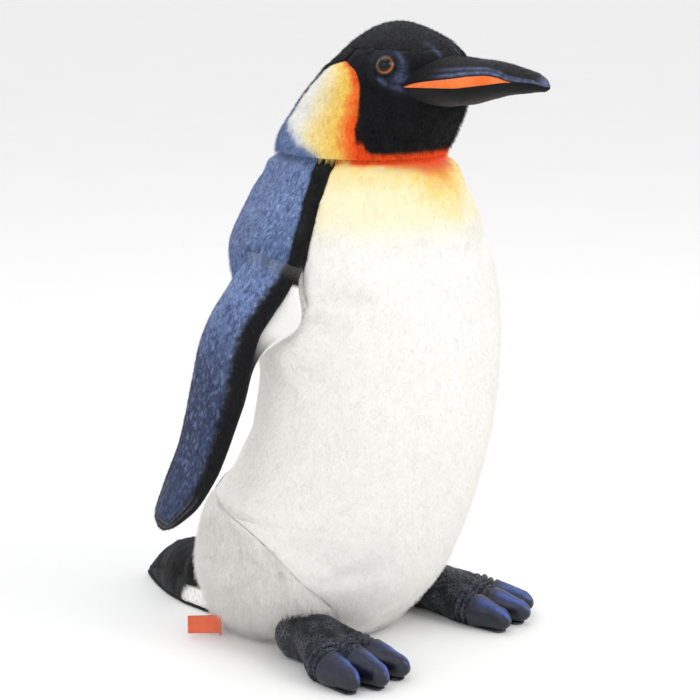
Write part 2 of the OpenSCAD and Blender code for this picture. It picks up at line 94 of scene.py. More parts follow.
BEAK = [
    [0, -98, 31, 344, 17, 12.5], [0.2, -107, 21, 344.5, 15.5, 11],
    [0.45, -121, 13.5, 346.5, 13, 9], [0.7, -136, 8.5, 348.5, 8.8, 7.5],
    [0.88, -148, 6, 348.5, 6.3, 5.6], [0.96, -154.5, 4, 347.5, 4, 3.8],
    [1, -157.5, 1.3, 346.7, 1.3, 1.3],
]
MOUTH_RISE = [
    [0, 3], [0.08, 13], [0.2, 22], [0.32, 25], [0.45, 25], [0.58, 18], [0.7, 3], [1, 1],
]
FLIPPER = [
    [0, -30, 5, 11], [10, -28, 9, 14], [22, -24.5, 12.5, 16.5], [40, -20.5, 17, 17.5],
    [55, -22, 18.5, 17.5], [82, -25.5, 15, 16.5], [107, -25.5, 11, 15], [122, -25, 9.5, 13.5],
    [137, -22.5, 10, 12], [150, -19, 10.5, 10.5], [163, -12, 10.5, 8.5], [171, -6, 8.5, 6],
    [175, -1, 4, 2.6],
]
TAIL = [
    [0, 78, 42, 43], [0.25, 98, 34, 38], [0.45, 114, 28.5, 33], [0.7, 134, 18.5, 25],
    [0.82, 143, 13, 18.5], [0.93, 151, 7.5, 11], [1, 157.5, 2.6, 4],
]
HINGE = np.array([87.0, -16.0, 245.0])
SWEEP, LEAN = math.radians(18), math.radians(8)
TOE_TIPS = [(52, -93, 8.5), (71.5, -93.5, 8.5), (87, -85, 8.5)]
KNUCKLES = [(53, -67, 10.5), (67.5, -68, 11), (81, -60, 10.5)]
INSTEP, ANKLE = (61, -42, 15), (60, -24, 14)
TOE_R, KNUCKLE_R, INSTEP_R, ANKLE_R = 9.0, 11.0, 16.5, 15.0
CAP_START = TOE_R - 27.0
EYE = np.array([34.9, -69.66, 356.0])
EYE_OUT = np.array([0.8595, -0.3614, 0.3616])


# ------------------------------------------------------------------ curves and forms
def along(tab, x, k=1):
    """Smooth monotone curve through the stations of a table."""
    t = np.asarray(tab, float)
    xs, ys = t[:, 0], t[:, k]
    x = np.clip(np.asarray(x, float), xs[0], xs[-1])
    s = (ys[1:] - ys[:-1]) / (xs[1:] - xs[:-1])
    m = np.empty(len(xs))
    m[0], m[-1] = s[0], s[-1]
    a, b = s[:-1], s[1:]
    total = np.where(a + b == 0, 1, a + b)
    m[1:-1] = np.where(a * b <= 0, 0, 2 * a * b / total)
    i = np.clip(np.searchsorted(xs, x, side="left") - 1, 0, len(xs) - 2)
    h = xs[i + 1] - xs[i]
    u = (x - xs[i]) / h
    return (
        (2 * u**3 - 3 * u**2 + 1) * ys[i] + (u**3 - 2 * u**2 + u) * h * m[i]
        + (3 * u**2 - 2 * u**3) * ys[i + 1] + (u**3 - u**2) * h * m[i + 1]
    )


def ease(t):
    t = np.clip(t, 0, 1)
    return t * t * (3 - 2 * t)


def bump(x, width):
    return np.exp(-((x / width) ** 2))


def section(k):
    return lambda z: np.where(z < NECK, along(BODY, z, k), along(HEAD, z, k))


half_w, half_d, middle = section(1), section(2), section(3)


def skin(z, a):
    """Point of the trunk or head skin at height z and angle a from straight ahead, in degrees."""
    z, a = np.broadcast_arrays(np.asarray(z, float), np.radians(a))
    return np.stack([half_w(z) * np.sin(a), middle(z) - half_d(z) * np.cos(a), z], -1)


def skin_normal(z, a):
    """Outward unit normal of the trunk or head skin."""
    z, a = np.broadcast_arrays(np.asarray(z, float), np.asarray(a, float))
    up = skin(z + 0.4, a) - skin(z - 0.4, a)
    round_ = skin(z, a + 0.4) - skin(z, a - 0.4)
    n = np.cross(round_, up)
    return n / np.maximum(np.linalg.norm(n, axis=-1, keepdims=True), 1e-9)


def round_cut(x, r):
    return np.sqrt(np.maximum(0.02, 1 - (x / r) ** 2))


def beak(u, a):
    u, a = np.broadcast_arrays(np.asarray(u, float), np.radians(a))
    s = np.sin(a)
    h = np.where(s >= 0, along(BEAK, u, 4), along(BEAK, u, 5))
    x = along(BEAK, u, 2) * np.cos(a)
    z = along(BEAK, u, 3) + h * s
    root = middle(z) - half_d(z) * round_cut(x, half_w(z)) - 0.5
    y = root + (np.minimum(root, along(BEAK, u, 1)) - root) * ease(u / 0.2)
    return np.stack([x, y, z], -1)


def tail(u, a):
    u, a = np.broadcast_arrays(np.asarray(u, float), np.radians(a))
    c, s = np.cos(a), np.maximum(np.sin(a), 0)
    x = -along(TAIL, u, 2) * np.sign(c) * np.abs(c) ** 0.85
    z = 2.4 + (along(TAIL, u, 3) - 2.4) * s**0.85
    root = middle(z) + half_d(z) * round_cut(x, half_w(z)) + 0.8
    y = root + (np.maximum(root, along(TAIL, u, 1)) - root) * ease(u / 0.25)
    return np.stack([x, y, z], -1)


def flipper_local(s, a):
    """Flipper skin about its hinge, hanging along -z, outer face towards -x."""
    s, a = np.broadcast_arrays(np.asarray(s, float), np.radians(a))
    q = np.clip(-s / 9, 0, 1)
    front, rear = along(FLIPPER, s, 1), along(FLIPPER, s, 2)
    half, mid = (rear - front) / 2 * (1 - 0.08 * q), (front + rear) / 2
    thick = along(FLIPPER, s, 3) / 2 * (1 - 0.55 * q**1.5)
    x = -thick * np.sin(a) + 15 * q**1.6
    return np.stack([x, mid - half * np.cos(a), -s], -1)


def hang(p):
    """Places a flipper's own frame at the right shoulder."""
    c, s = math.cos(LEAN), math.sin(LEAN)
    lean = np.array([[c, 0, s], [0, 1, 0], [-s, 0, c]])
    c, s = math.cos(SWEEP), math.sin(SWEEP)
    sweep = np.array([[1, 0, 0], [0, c, -s], [0, s, c]])
    return p @ lean.T @ sweep.T + HINGE * [-1, 1, 1]


def mirror(p, side):
    """The forms that are written for the bird's right side (x < 0), on either side."""
    return p * np.array([1.0 if side == RIGHT else -1.0, 1, 1])


# ------------------------------------------------------------------ noise
def value_noise(p, scale, seed=0):
    """Smooth random field from -1 to 1 with blobs of about the given size, in millimetres."""
    q = np.asarray(p, float) / scale + seed * 17.31
    i = np.floor(q)
    f = q - i
    f = f * f * (3 - 2 * f)
    out = 0
    for corner in range(8):
        o = np.array([corner & 1, corner >> 1 & 1, corner >> 2 & 1], float)
        h = np.sin((i + o) @ np.array([12.9898, 78.233, 37.719]) + seed) * 43758.5453
        w = np.prod(np.where(o > 0, f, 1 - f), -1)
        out = out + (h - np.floor(h)) * w
    return out * 2 - 1


def cloudy(p, scale, seed=0):
    return (
        value_noise(p, scale, seed) * 0.6 + value_noise(p, scale / 2.1, seed + 3) * 0.3
        + value_noise(p, scale / 4.3, seed + 7) * 0.15
    )


# ------------------------------------------------------------------ distances
def nearest(p, line):
    """Distance from each point of a grid to a polyline given as dense points."""
    tree = KDTree(len(line))
    for i, q in enumerate(line):
        tree.insert(q, i)
    tree.balance()
    flat = p.reshape(-1, 3)
    return np.array([tree.find(q)[2] for q in flat]).reshape(p.shape[:-1])


def dense(points, step=0.6):
    """Points along a polyline at a small step."""
    out = []
    pts = np.asarray(points, float)
    for a, b in zip(pts[:-1], pts[1:]):
        n = max(2, int(np.linalg.norm(b - a) / step))
        out.extend(a + (b - a) * t for t in np.linspace(0, 1, n, endpoint=False))
    out.append(pts[-1])
    return np.array(out)


def skin_line(table, sign):
    """Points along a line of the skin given as heights and angles."""
    t = np.asarray(table, float)
    z = np.concatenate([np.linspace(t[i, 0], t[i + 1, 0], 30) for i in range(len(t) - 1)])
    return skin(z, sign * along(table, z))


# ------------------------------------------------------------------ meshes
def grid_normals(p):
    du = np.gradient(p, axis=0)
    dv = np.gradient(p, axis=1)
    n = np.cross(du, dv)
    return n / np.maximum(np.linalg.norm(n, axis=-1, keepdims=True), 1e-9)


def outward(p, toward=None):
    """Unit normals of a grid that point away from the middle of the form, or as told."""
    n = grid_normals(p)
    if toward is not None:
        return n if (n @ np.asarray(toward, float)).mean() >= 0 else -n
    facing = np.sum(n * (p - p.reshape(-1, 3).mean(0)), -1).mean()
    return n if facing >= 0 else -n


def grid_faces(n, m, start=0, flip=False):
    i, j = np.meshgrid(np.arange(n - 1), np.arange(m - 1), indexing="ij")
    p = (start + i * m + j).ravel()
    quad = [p, p + 1, p + m + 1, p + m]
    return np.stack(quad[::-1] if flip else quad, -1)


def face_outward(mesh):
    bm = bmesh.new()
    bm.from_mesh(mesh)
    bmesh.ops.recalc_face_normals(bm, faces=bm.faces)
    bm.to_mesh(mesh)
    bm.free()


def make_mesh(name, verts_mm, faces, side=RIGHT, tint=None):
    """A mesh object, in metres, mirrored for the left side, with its attributes."""
    verts = mirror(np.asarray(verts_mm, float), side) * MM
    faces = [list(f)[::-1] for f in faces] if side == LEFT else [list(f) for f in faces]
    mesh = bpy.data.meshes.new(name)
    mesh.from_pydata(verts.tolist(), [], faces)
    mesh.validate()
    face_outward(mesh)
    mesh.polygons.foreach_set("use_smooth", np.ones(len(mesh.polygons), bool))
    obj = bpy.data.objects.new(name, mesh)
    SCENE.collection.objects.link(obj)
    rest = mesh.attributes.new("rest", "FLOAT_VECTOR", "POINT")
    rest.data.foreach_set("vector", verts.astype(np.float32).ravel())
    if tint is not None:
        set_tint(obj, tint)
    return obj


def set_tint(obj, tint):
    """Per-point sRGB colours (0-255) as a corner colour, which the pile strands can read too."""
    mesh = obj.data
    layer = mesh.color_attributes.new("tint", "BYTE_COLOR", "CORNER")
    corner = np.empty(len(mesh.loops), int)
    mesh.loops.foreach_get("vertex_index", corner)
    rgb = np.clip(np.asarray(tint, float).reshape(-1, 3)[corner] / 255, 0, 1)
    rgba = np.concatenate([rgb, np.ones((len(rgb), 1))], 1)
    layer.data.foreach_set("color_srgb", rgba.astype(np.float32).ravel())


def two_skins(name, outer, inner, side, tint, furred=None):
    """A closed solid: a grid of points and its inner copy, joined round the rim."""
    n, m = outer.shape[:2]
    k = n * m
    ring = np.concatenate([
        np.arange(m), np.arange(1, n) * m + m - 1,
        (n - 1) * m + np.arange(m - 2, -1, -1), np.arange(n - 2, 0, -1) * m,
    ])
    nxt = np.roll(ring, -1)
    rim = np.stack([ring, ring + k, nxt + k, nxt], -1)
    verts = np.concatenate([outer.reshape(-1, 3), inner.reshape(-1, 3)])
    faces = np.concatenate([grid_faces(n, m), grid_faces(n, m, k, True), rim])
    obj = make_mesh(name, verts, faces, side, np.concatenate([tint.reshape(-1, 3)] * 2))
    furred = np.arange(k) if furred is None else np.nonzero(furred.ravel())[0]
    obj.vertex_groups.new(name="pile").add(furred.tolist(), 1.0, "REPLACE")
    return obj


def tube(rings):
    """Points and faces of a closed tube of rings, each end a fan round its middle."""
    n, m = rings.shape[:2]
    verts = np.concatenate([rings.reshape(-1, 3), rings[0].mean(0)[None], rings[-1].mean(0)[None]])
    i, j = np.meshgrid(np.arange(n - 1), np.arange(m), indexing="ij")
    p, q = (i * m + j).ravel(), (i * m + (j + 1) % m).ravel()
    faces = np.stack([p, q, q + m, p + m], -1).tolist()
    for k in range(m):
        r = (k + 1) % m
        faces += [[r, k, n * m], [(n - 1) * m + k, (n - 1) * m + r, n * m + 1]]
    return verts, faces


def ring_solid(name, rings, tint=None, side=RIGHT, furred=False):
    """A closed solid through rings of points, with pile on all but its first ring if asked for."""
    n, m = rings.shape[:2]
    if tint is not None:
        flat = np.asarray(tint, float).reshape(-1, 3)
        tint = np.concatenate([flat, flat[:m].mean(0)[None], flat[-m:].mean(0)[None]])
    obj = make_mesh(name, *tube(rings), side, tint)
    if furred:
        obj.vertex_groups.new(name="pile").add([*range(m, n * m), n * m + 1], 1.0, "REPLACE")
    return obj


# ------------------------------------------------------------------ cloth simulation
SIM_FRAMES = 20


def inflate(rings, pins, shrink):
    """Cloth simulation of a closed tube under pressure; gives how far each point moves."""
    verts, faces = tube(rings)
    mesh = bpy.data.meshes.new("proxy")
    mesh.from_pydata((verts * MM).tolist(), [], faces)
    face_outward(mesh)
    obj = bpy.data.objects.new("proxy", mesh)
    SCENE.collection.objects.link(obj)
    pin = obj.vertex_groups.new(name="pin")
    held = np.concatenate([pins.ravel(), [1.0, 1.0]])
    for level in np.unique(held[held > 0]):
        pin.add(np.nonzero(held == level)[0].tolist(), float(level), "REPLACE")
    cloth = obj.modifiers.new("cloth", "CLOTH")
    cloth.settings.quality = 4
    cloth.settings.mass = 0.2
    cloth.settings.tension_stiffness = 18
    cloth.settings.compression_stiffness = 18
    cloth.settings.shear_stiffness = 6
    cloth.settings.bending_stiffness = 1.5
    cloth.settings.use_pressure = True
    cloth.settings.uniform_pressure_force = 4.0
    cloth.settings.vertex_group_mass = "pin"
    cloth.settings.shrink_min = shrink
    cloth.settings.effector_weights.gravity = 0
    cloth.collision_settings.use_collision = False
    cloth.point_cache.frame_start, cloth.point_cache.frame_end = 1, SIM_FRAMES
    for frame_number in range(1, SIM_FRAMES + 1):
        SCENE.frame_set(frame_number)
    done = obj.evaluated_get(bpy.context.evaluated_depsgraph_get()).to_mesh()
    co = np.empty(len(verts) * 3)
    done.vertices.foreach_get("co", co)
    moved = co.reshape(-1, 3)[:-2].reshape(rings.shape) / MM - rings
    bpy.data.objects.remove(obj)
    SCENE.frame_set(1)
    return np.nan_to_num(moved)


def puffed(rings, pins, shrink, usual, cap):
    """The simulated movement of a tube, scaled to its usual size, with a limit for each point."""
    moved = inflate(rings, pins, shrink)
    size = np.linalg.norm(moved, axis=-1)
    scale = usual / max(np.percentile(size, 90), 1e-6)
    size = np.maximum(size * scale, 1e-9)
    return moved * scale * (np.minimum(size, cap + 0.3 * (size - cap).clip(0)) / size)[..., None]


def sample(field, rows, r, degrees):
    """Bilinear value of a field known at rows and at columns spread evenly round the circle."""
    i = np.clip(np.searchsorted(rows, r) - 1, 0, len(rows) - 2)
    t = np.clip((r - rows[i]) / (rows[i + 1] - rows[i]), 0, 1)[..., None]
    m = field.shape[1]
    x = (degrees / 360 * m) % m
    j = np.floor(x).astype(int) % m
    k = (j + 1) % m
    s = (x - np.floor(x))[..., None]
    low = field[i, j] * (1 - s) + field[i, k] * s
    high = field[i + 1, j] * (1 - s) + field[i + 1, k] * s
    return low * (1 - t) + high * t


# ------------------------------------------------------------------ materials
def linear(rgb):
    c = np.asarray(rgb, float) / 255
    return tuple(np.where(c <= 0.04045, c / 12.92, ((c + 0.055) / 1.055) ** 2.4)) + (1.0,)


class Nodes:
    """A short way to build a material's node tree."""

    def __init__(self, name):
        self.mat = bpy.data.materials.new(name)
        self.mat.use_nodes = True
        self.tree = self.mat.node_tree
        self.shader = self.tree.nodes["Principled BSDF"]

    def add(self, kind, **values):
        node = self.tree.nodes.new(kind)
        for key, value in values.items():
            if hasattr(node, key):
                setattr(node, key, value)
            else:
                node.inputs[key.replace("_", " ").title()].default_value = value
        return node

    def link(self, a, b):
        self.tree.links.new(a, b)

    def rest(self):
        return self.add("ShaderNodeAttribute", attribute_name="rest").outputs["Vector"]

    def tint(self):
        return self.add("ShaderNodeAttribute", attribute_name="tint").outputs["Color"]

    def noise(self, place, scale, detail=2.0, rough=0.5):
        n = self.add("ShaderNodeTexNoise", scale=scale, detail=detail, roughness=rough)
        self.link(place, n.inputs["Vector"])
        return n.outputs["Fac"]

    def math(self, kind, a, b=0.0, c=0.0, clamp=False):
        n = self.add("ShaderNodeMath", operation=kind, use_clamp=clamp)
        for slot, v in enumerate((a, b, c)):
            if isinstance(v, (int, float)):
                n.inputs[slot].default_value = v
            else:
                self.link(v, n.inputs[slot])
        return n.outputs[0]

    def remap(self, value, low, high, to_low, to_high):
        n = self.add("ShaderNodeMapRange")
        self.link(value, n.inputs["Value"])
        for key, v in zip(("From Min", "From Max", "To Min", "To Max"), (low, high, to_low, to_high)):
            n.inputs[key].default_value = v
        return n.outputs["Result"]

    def spread(self, noise, to_low, to_high):
        """Noise stretched from where most of it lies to the wanted range."""
        return self.remap(noise, 0.3, 0.7, to_low, to_high)

    def blend(self, kind, a, b, fac=1.0):
        n = self.add("ShaderNodeMix", data_type="RGBA", blend_type=kind)
        for slot, v in ((0, fac), (6, a), (7, b)):
            if isinstance(v, (int, float, tuple)):
                n.inputs[slot].default_value = v
            else:
                self.link(v, n.inputs[slot])
        return n.outputs[2]

    def grey(self, value):
        n = self.add("ShaderNodeCombineColor")
        for slot in range(3):
            self.link(value, n.inputs[slot])
        return n.outputs[0]

    def bump(self, height, strength, distance, before=None):
        n = self.add("ShaderNodeBump")
        n.inputs["Strength"].default_value = strength
        n.inputs["Distance"].default_value = distance
        self.link(height, n.inputs["Height"])
        if before is not None:
            self.link(before, n.inputs["Normal"])
        return n.outputs["Normal"]

    def paint(self, base, tone):
        self.link(self.blend("MULTIPLY", base, self.grey(tone)), self.shader.inputs["Base Color"])

    def relief(self, *heights):
        self.link(self.bump(*heights), self.shader.inputs["Normal"])

    def set(self, **values):
        for key, value in values.items():
            socket = key.replace("_", " ").title().replace("Ior", "IOR")
            self.shader.inputs[socket].default_value = value


def pile_material(name, rough=0.9, sheen=0.5, grain=0.6, mottle=0.0, nap=0.08, tuft=2.2, speck=0.12,
                  stretch=1.0):
    """Short pile: fine grain bump, brushed nap clouds, and printed mottling if asked for."""
    n = Nodes(name)
    place = n.rest()
    base = n.tint()
    clouds = n.noise(place, 45, 3, 0.6)
    longer = n.add("ShaderNodeVectorMath", operation="MULTIPLY")
    longer.inputs[1].default_value = (1, 1, stretch)
    n.link(place, longer.inputs[0])
    fine = n.noise(longer.outputs[0], 1000 / tuft, 3, 0.7)
    hair = n.noise(place, 2600, 1, 0.5)
    shade = n.spread(clouds, 1 - nap, 1 + nap)
    grainy = n.spread(fine, 1 - speck - mottle, 1 + speck + mottle)
    n.paint(base, n.math("MULTIPLY", shade, grainy))
    height = n.math("ADD", fine, n.math("MULTIPLY", hair, 0.45))
    soft = n.bump(clouds, 0.25, 0.004)
    n.relief(height, grain, 0.0011, soft)
    n.set(roughness=rough, sheen_weight=sheen, sheen_roughness=0.5, specular_ior_level=0.15)
    return n.mat


def strand_material(name, light=1.25, dark=0.7, rough=0.7):
    """The pile's own strands, tinted by the cloth at their root and varied one by one."""
    n = Nodes(name)
    info = n.add("ShaderNodeHairInfo")
    each = n.remap(info.outputs["Random"], 0, 1, dark, light)
    tip = n.remap(info.outputs["Intercept"], 0, 1, 0.9, 1.06)
    n.paint(n.tint(), n.math("MULTIPLY", each, tip))
    n.set(roughness=rough, specular_ior_level=0.2)
    return n.mat


def cloth_material(name, colour, rough=0.7, sheen=0.2, weave=180):
    """Plain woven cloth, thread or tape."""
    n = Nodes(name)
    place = n.rest()
    waves = []
    for direction in ("X", "Z"):
        w = n.add("ShaderNodeTexWave", bands_direction=direction)
        w.inputs["Scale"].default_value = weave
        w.inputs["Distortion"].default_value = 0.4
        n.link(place, w.inputs["Vector"])
        waves.append(w.outputs["Fac"])
    thread = n.math("MULTIPLY", waves[0], waves[1])
    spots = n.spread(n.noise(place, 120, 3), 0.9, 1.1)
    n.paint(linear(colour), n.math("MULTIPLY", spots, n.remap(thread, 0, 1, 0.88, 1.06)))
    n.relief(thread, 0.4, 0.0003)
    n.set(roughness=rough, sheen_weight=sheen)
    return n.mat


def scale_material():
    """Dark printed cloth of the feet: small lizard scales with pale crescents."""
    n = Nodes("foot_cloth")
    place, base = n.rest(), n.tint()
    warp = n.add("ShaderNodeTexNoise", scale=160.0, detail=2.0)
    n.link(place, warp.inputs["Vector"])
    moved = n.add("ShaderNodeVectorMath", operation="MULTIPLY_ADD")
    n.link(warp.outputs["Color"], moved.inputs[0])
    moved.inputs[1].default_value = (0.004, 0.004, 0.004)
    n.link(place, moved.inputs[2])
    cells = n.add("ShaderNodeTexVoronoi", scale=430.0)
    cells.feature = "DISTANCE_TO_EDGE"
    n.link(moved.outputs[0], cells.inputs["Vector"])
    lumps = n.add("ShaderNodeTexVoronoi", scale=430.0)
    n.link(moved.outputs[0], lumps.inputs["Vector"])
    edge = n.remap(cells.outputs["Distance"], 0.02, 0.16, 1, 0)
    patchy = n.remap(n.noise(place, 90, 3), 0.42, 0.6, 0.05, 0.75)
    pale = n.math("MULTIPLY", n.math("MULTIPLY", edge, patchy), 0.5, clamp=True)
    tone = n.remap(lumps.outputs["Distance"], 0, 0.7, 1.2, 0.55)
    dark = n.blend("MULTIPLY", base, n.grey(tone))
    colour = n.blend("MIX", dark, linear((128, 130, 142)), pale)
    n.link(colour, n.shader.inputs["Base Color"])
    n.relief(n.math("SUBTRACT", 1.0, lumps.outputs["Distance"]), 0.8, 0.0014)
    n.set(roughness=0.42, specular_ior_level=0.35)
    return n.mat


def satin_material():
    """Smooth satin cloth of the toe caps; the painted highlight along the top of each toe comes in
    with the tint.
    """
    n = Nodes("toe_cloth")
    place, base = n.rest(), n.tint()
    clouds = n.noise(place, 220, 4, 0.65)
    fine = n.noise(place, 1500, 2)
    n.paint(base, n.math("MULTIPLY", n.spread(clouds, 0.6, 1.45), n.spread(fine, 0.9, 1.1)))
    n.relief(n.math("ADD", clouds, n.math("MULTIPLY", fine, 0.3)), 0.3, 0.001)
    n.set(roughness=0.36, coat_weight=0.15, coat_roughness=0.25)
    return n.mat


def eye_material():
    """Glossy moulded eye: black pupil, thin amber iris, dark rim."""
    n = Nodes("eye_plastic")
    place, base = n.rest(), n.tint()
    n.paint(base, n.spread(n.noise(place, 900, 3), 0.8, 1.2))
    n.set(roughness=0.3, coat_weight=0.8, coat_roughness=0.02, coat_ior=1.36, specular_ior_level=0.05)
    return n.mat


def plain_material(name, colour, rough, vary=0.05, scale=300):
    """Moulded plastic or paper."""
    n = Nodes(name)
    place = n.add("ShaderNodeTexCoord").outputs["Object"]
    n.paint(linear(colour), n.spread(n.noise(place, scale, 3), 1 - vary, 1 + vary))
    n.relief(n.noise(place, scale * 4, 2), 0.2, 0.0005)
    n.set(roughness=rough)
    return n.mat


WHITE_PILE = pile_material("white_pile", sheen=0.3, grain=0.22, nap=0.012, speck=0.02)
LONG_PILE = pile_material("long_white_pile", sheen=0.3, grain=0.4, nap=0.015, tuft=3, speck=0.03)
BLUE_PILE = pile_material("blue_pile", sheen=0.2, grain=0.6, mottle=0.4, nap=0.14, tuft=1.5,
                          stretch=0.5)
BLACK_PILE = pile_material("black_pile", sheen=0.08, grain=0.6, mottle=0.1, nap=0.22, tuft=2.6)
NECK_PILE = pile_material("neck_pile", sheen=0.25, grain=0.35, nap=0.02, speck=0.04)
BEAK_CLOTH = pile_material("beak_cloth", rough=0.7, sheen=0.08, grain=0.35, nap=0.12, tuft=1.2)
ORANGE_CLOTH = pile_material("orange_cloth", rough=0.7, sheen=0.3, grain=0.35, nap=0.06, tuft=1.4)
FOOT_CLOTH = scale_material()
TOE_CLOTH = satin_material()
EYE_PLASTIC = eye_material()
WHITE_STRAND = strand_material("white_strand", 1.03, 0.95)
BLUE_STRAND = strand_material("blue_strand", 2.1, 0.3)
BLACK_STRAND = strand_material("black_strand", 1.45, 0.45, 0.6)
NECK_STRAND = strand_material("neck_strand", 1.08, 0.85)


def dress(obj, material, strand=None):
    obj.data.materials.clear()
    obj.data.materials.append(material)
    if strand is not None:
        obj.data.materials.append(strand)


def fur(obj, per_mm2, length, fall, stray, seed, width=0.12):
    """Pile strands on the outer face, from the vertex group named pile. Sizes in millimetres."""
    group = obj.vertex_groups["pile"].index
    mesh = obj.data
    marked = {v.index for v in mesh.vertices if any(g.group == group for g in v.groups)}
    area = sum(poly.area for poly in mesh.polygons if poly.vertices[0] in marked)
    system = obj.modifiers.new("pile", "PARTICLE_SYSTEM").particle_system
    system.seed = seed
    system.vertex_group_density = "pile"
    s = system.settings
    s.type = "HAIR"
    s.count = int(area / MM**2 * per_mm2)
    s.use_advanced_hair = True
    s.hair_length = length * MM
    s.hair_step = 3
    s.display_step = 2
    s.render_step = 3
    part = length * MM / 4
    s.object_align_factor = (0.0, 0.0, -part * fall)
    s.factor_random = part * stray
    s.use_even_distribution = True
    s.distribution = "RAND"
    s.root_radius = 1.0
    s.tip_radius = 0.35
    s.radius_scale = width * MM
    s.length_random = 0.35
    s.material = len(mesh.materials)


def stuffed(obj, body, material, nodes, strand=None, hair=None):
    """Puts a padded piece on its body, with its cloth, its pile and the CAD nodes it stands for."""
    if body:
        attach(obj, body)
    dress(obj, material, strand)
    if hair:
        fur(obj, *hair)
    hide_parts(*nodes)


# ------------------------------------------------------------------ simulated puffs
TRUNK_ROWS = np.arange(3, 303.5, 6.0)
TRUNK_COLS = 72
HEAD_ROWS = np.arange(303, 378, 5.0)
LIMB_COLS = 32
FLIPPER_ROWS = np.arange(0, 175.1, 7.0)
TAIL_ROWS = np.linspace(0, 1, 15)


def seam_pins(points, lines, reach):
    pins = np.zeros(points.shape[:-1])
    for line in lines:
        pins = np.maximum(pins, np.where(nearest(points, line) < reach, 1.0, 0.0))
    return pins


def trunk_lines():
    lines = [skin_line([r for r in BELLY_EDGE if r[0] >= 3], s) for s in (-1, 1)]
    lines += [skin_line(STRIPE_EDGE, s) for s in (-1, 1)]
    lines += [skin_line([[3, THIGH_BACK], [92, THIGH_BACK]], s) for s in (-1, 1)]
    return lines


def circle(columns):
    return np.arange(columns) * 360 / columns


def skin_puff(rows, lines, shrink, usual, cap):
    rings = skin(rows[:, None], circle(TRUNK_COLS)[None])
    pins = seam_pins(rings, lines, 3.6) * 0.9
    pins[0], pins[-1] = 1, 1
    return puffed(rings, pins, shrink, usual, cap)


def flipper_puff():
    rings = flipper_local(FLIPPER_ROWS[:, None], circle(LIMB_COLS)[None])
    pins = np.zeros(rings.shape[:-1])
    pins[0], pins[-1] = 1, 1
    pins[:, 0], pins[:, LIMB_COLS // 2] = 0.95, 0.95
    return puffed(rings, pins, -0.035, 1.7, 2.6)


def tail_puff():
    rings = tail(TAIL_ROWS[:, None], (np.arange(LIMB_COLS) * 180 / (LIMB_COLS - 1))[None])
    pins = np.zeros(rings.shape[:-1])
    pins[0], pins[-1], pins[:, 0], pins[:, -1] = 1, 1, 1, 1
    return puffed(rings, pins, -0.02, 1.3, 2.0)


TRUNK_PUFF = skin_puff(TRUNK_ROWS, trunk_lines(), -0.012, 2.0, 3.0)
HEAD_PUFF = skin_puff(HEAD_ROWS, [], -0.01, 1.0, 1.6)
FLIPPER_PUFF, TAIL_PUFF = flipper_puff(), tail_puff()


def blown(z, a):
    """Simulated movement of the trunk and head skin."""
    low, high = sample(TRUNK_PUFF, TRUNK_ROWS, z, a), sample(HEAD_PUFF, HEAD_ROWS, z, a)
    return np.where((z < NECK)[..., None], low, high)


# ------------------------------------------------------------------ colours
def mix3(a, b, t):
    a, b = np.asarray(a, float), np.asarray(b, float)
    return a + (b - a) * np.asarray(t)[..., None]


def clouded(p, colour, other, scale, seed):
    """Two colours mixed by a smooth random field."""
    return mix3(colour, other, 0.5 + 0.5 * cloudy(p, scale, seed))


def step(x, low, high):
    return ease((x - low) / (high - low))


WHITE, CREAM, YELLOW = (243, 242, 238), (250, 240, 205), (250, 214, 96)
ORANGE, THROAT = (248, 122, 48), (252, 92, 30)
BLUE, NAVY = (112, 133, 176), (58, 68, 98)
BLACK, CHARCOAL = (17, 17, 19), (27, 27, 30)
BEAK_BLUE, BEAK_ORANGE = (116, 130, 176), (240, 106, 42)


def speckle(p, share, scale, seed):
    """Random clumps of pile, as the printed edges show: near 1 inside, 0 outside."""
    return step(value_noise(p, scale, seed) * 0.5 + share, 0.4, 0.6)


def dashes(p, t, seed):
    """The blue print: short pale and dark dashes along the pile."""
    q = p * [1, 1, 0.5]
    light = step(value_noise(q, 1.2, seed), 0.1, 0.6)
    dark = step(value_noise(q, 1.3, seed + 5), 0.1, 0.6)
    return mix3(mix3(t, (150, 172, 214), light * 0.45), (44, 54, 88), dark * 0.45)


def belly_tint(p, z, a):
    """White, with the orange and yellow print that runs down from the throat."""
    drop = NECK - z + value_noise(p, 9, 4) * 2.5
    b = np.abs(np.where(a > 180, a - 360, a))
    drip = 26 * bump(b, 22) + 5
    yellow = step(drop, drip + 16, drip * 0.3)
    orange = step(drop, 9 * bump(b, 34) + 3.5, 1.5)
    amber = 0.8 * bump(b, 9) * step(drop, 24, 8)
    t = mix3(WHITE, CREAM, step(drop, 52, 26))
    t = mix3(t, YELLOW, yellow * (0.55 + 0.3 * value_noise(p, 3, 8)).clip(0, 1))
    t = mix3(t, (240, 150, 40), amber)
    return mix3(t, THROAT, orange)


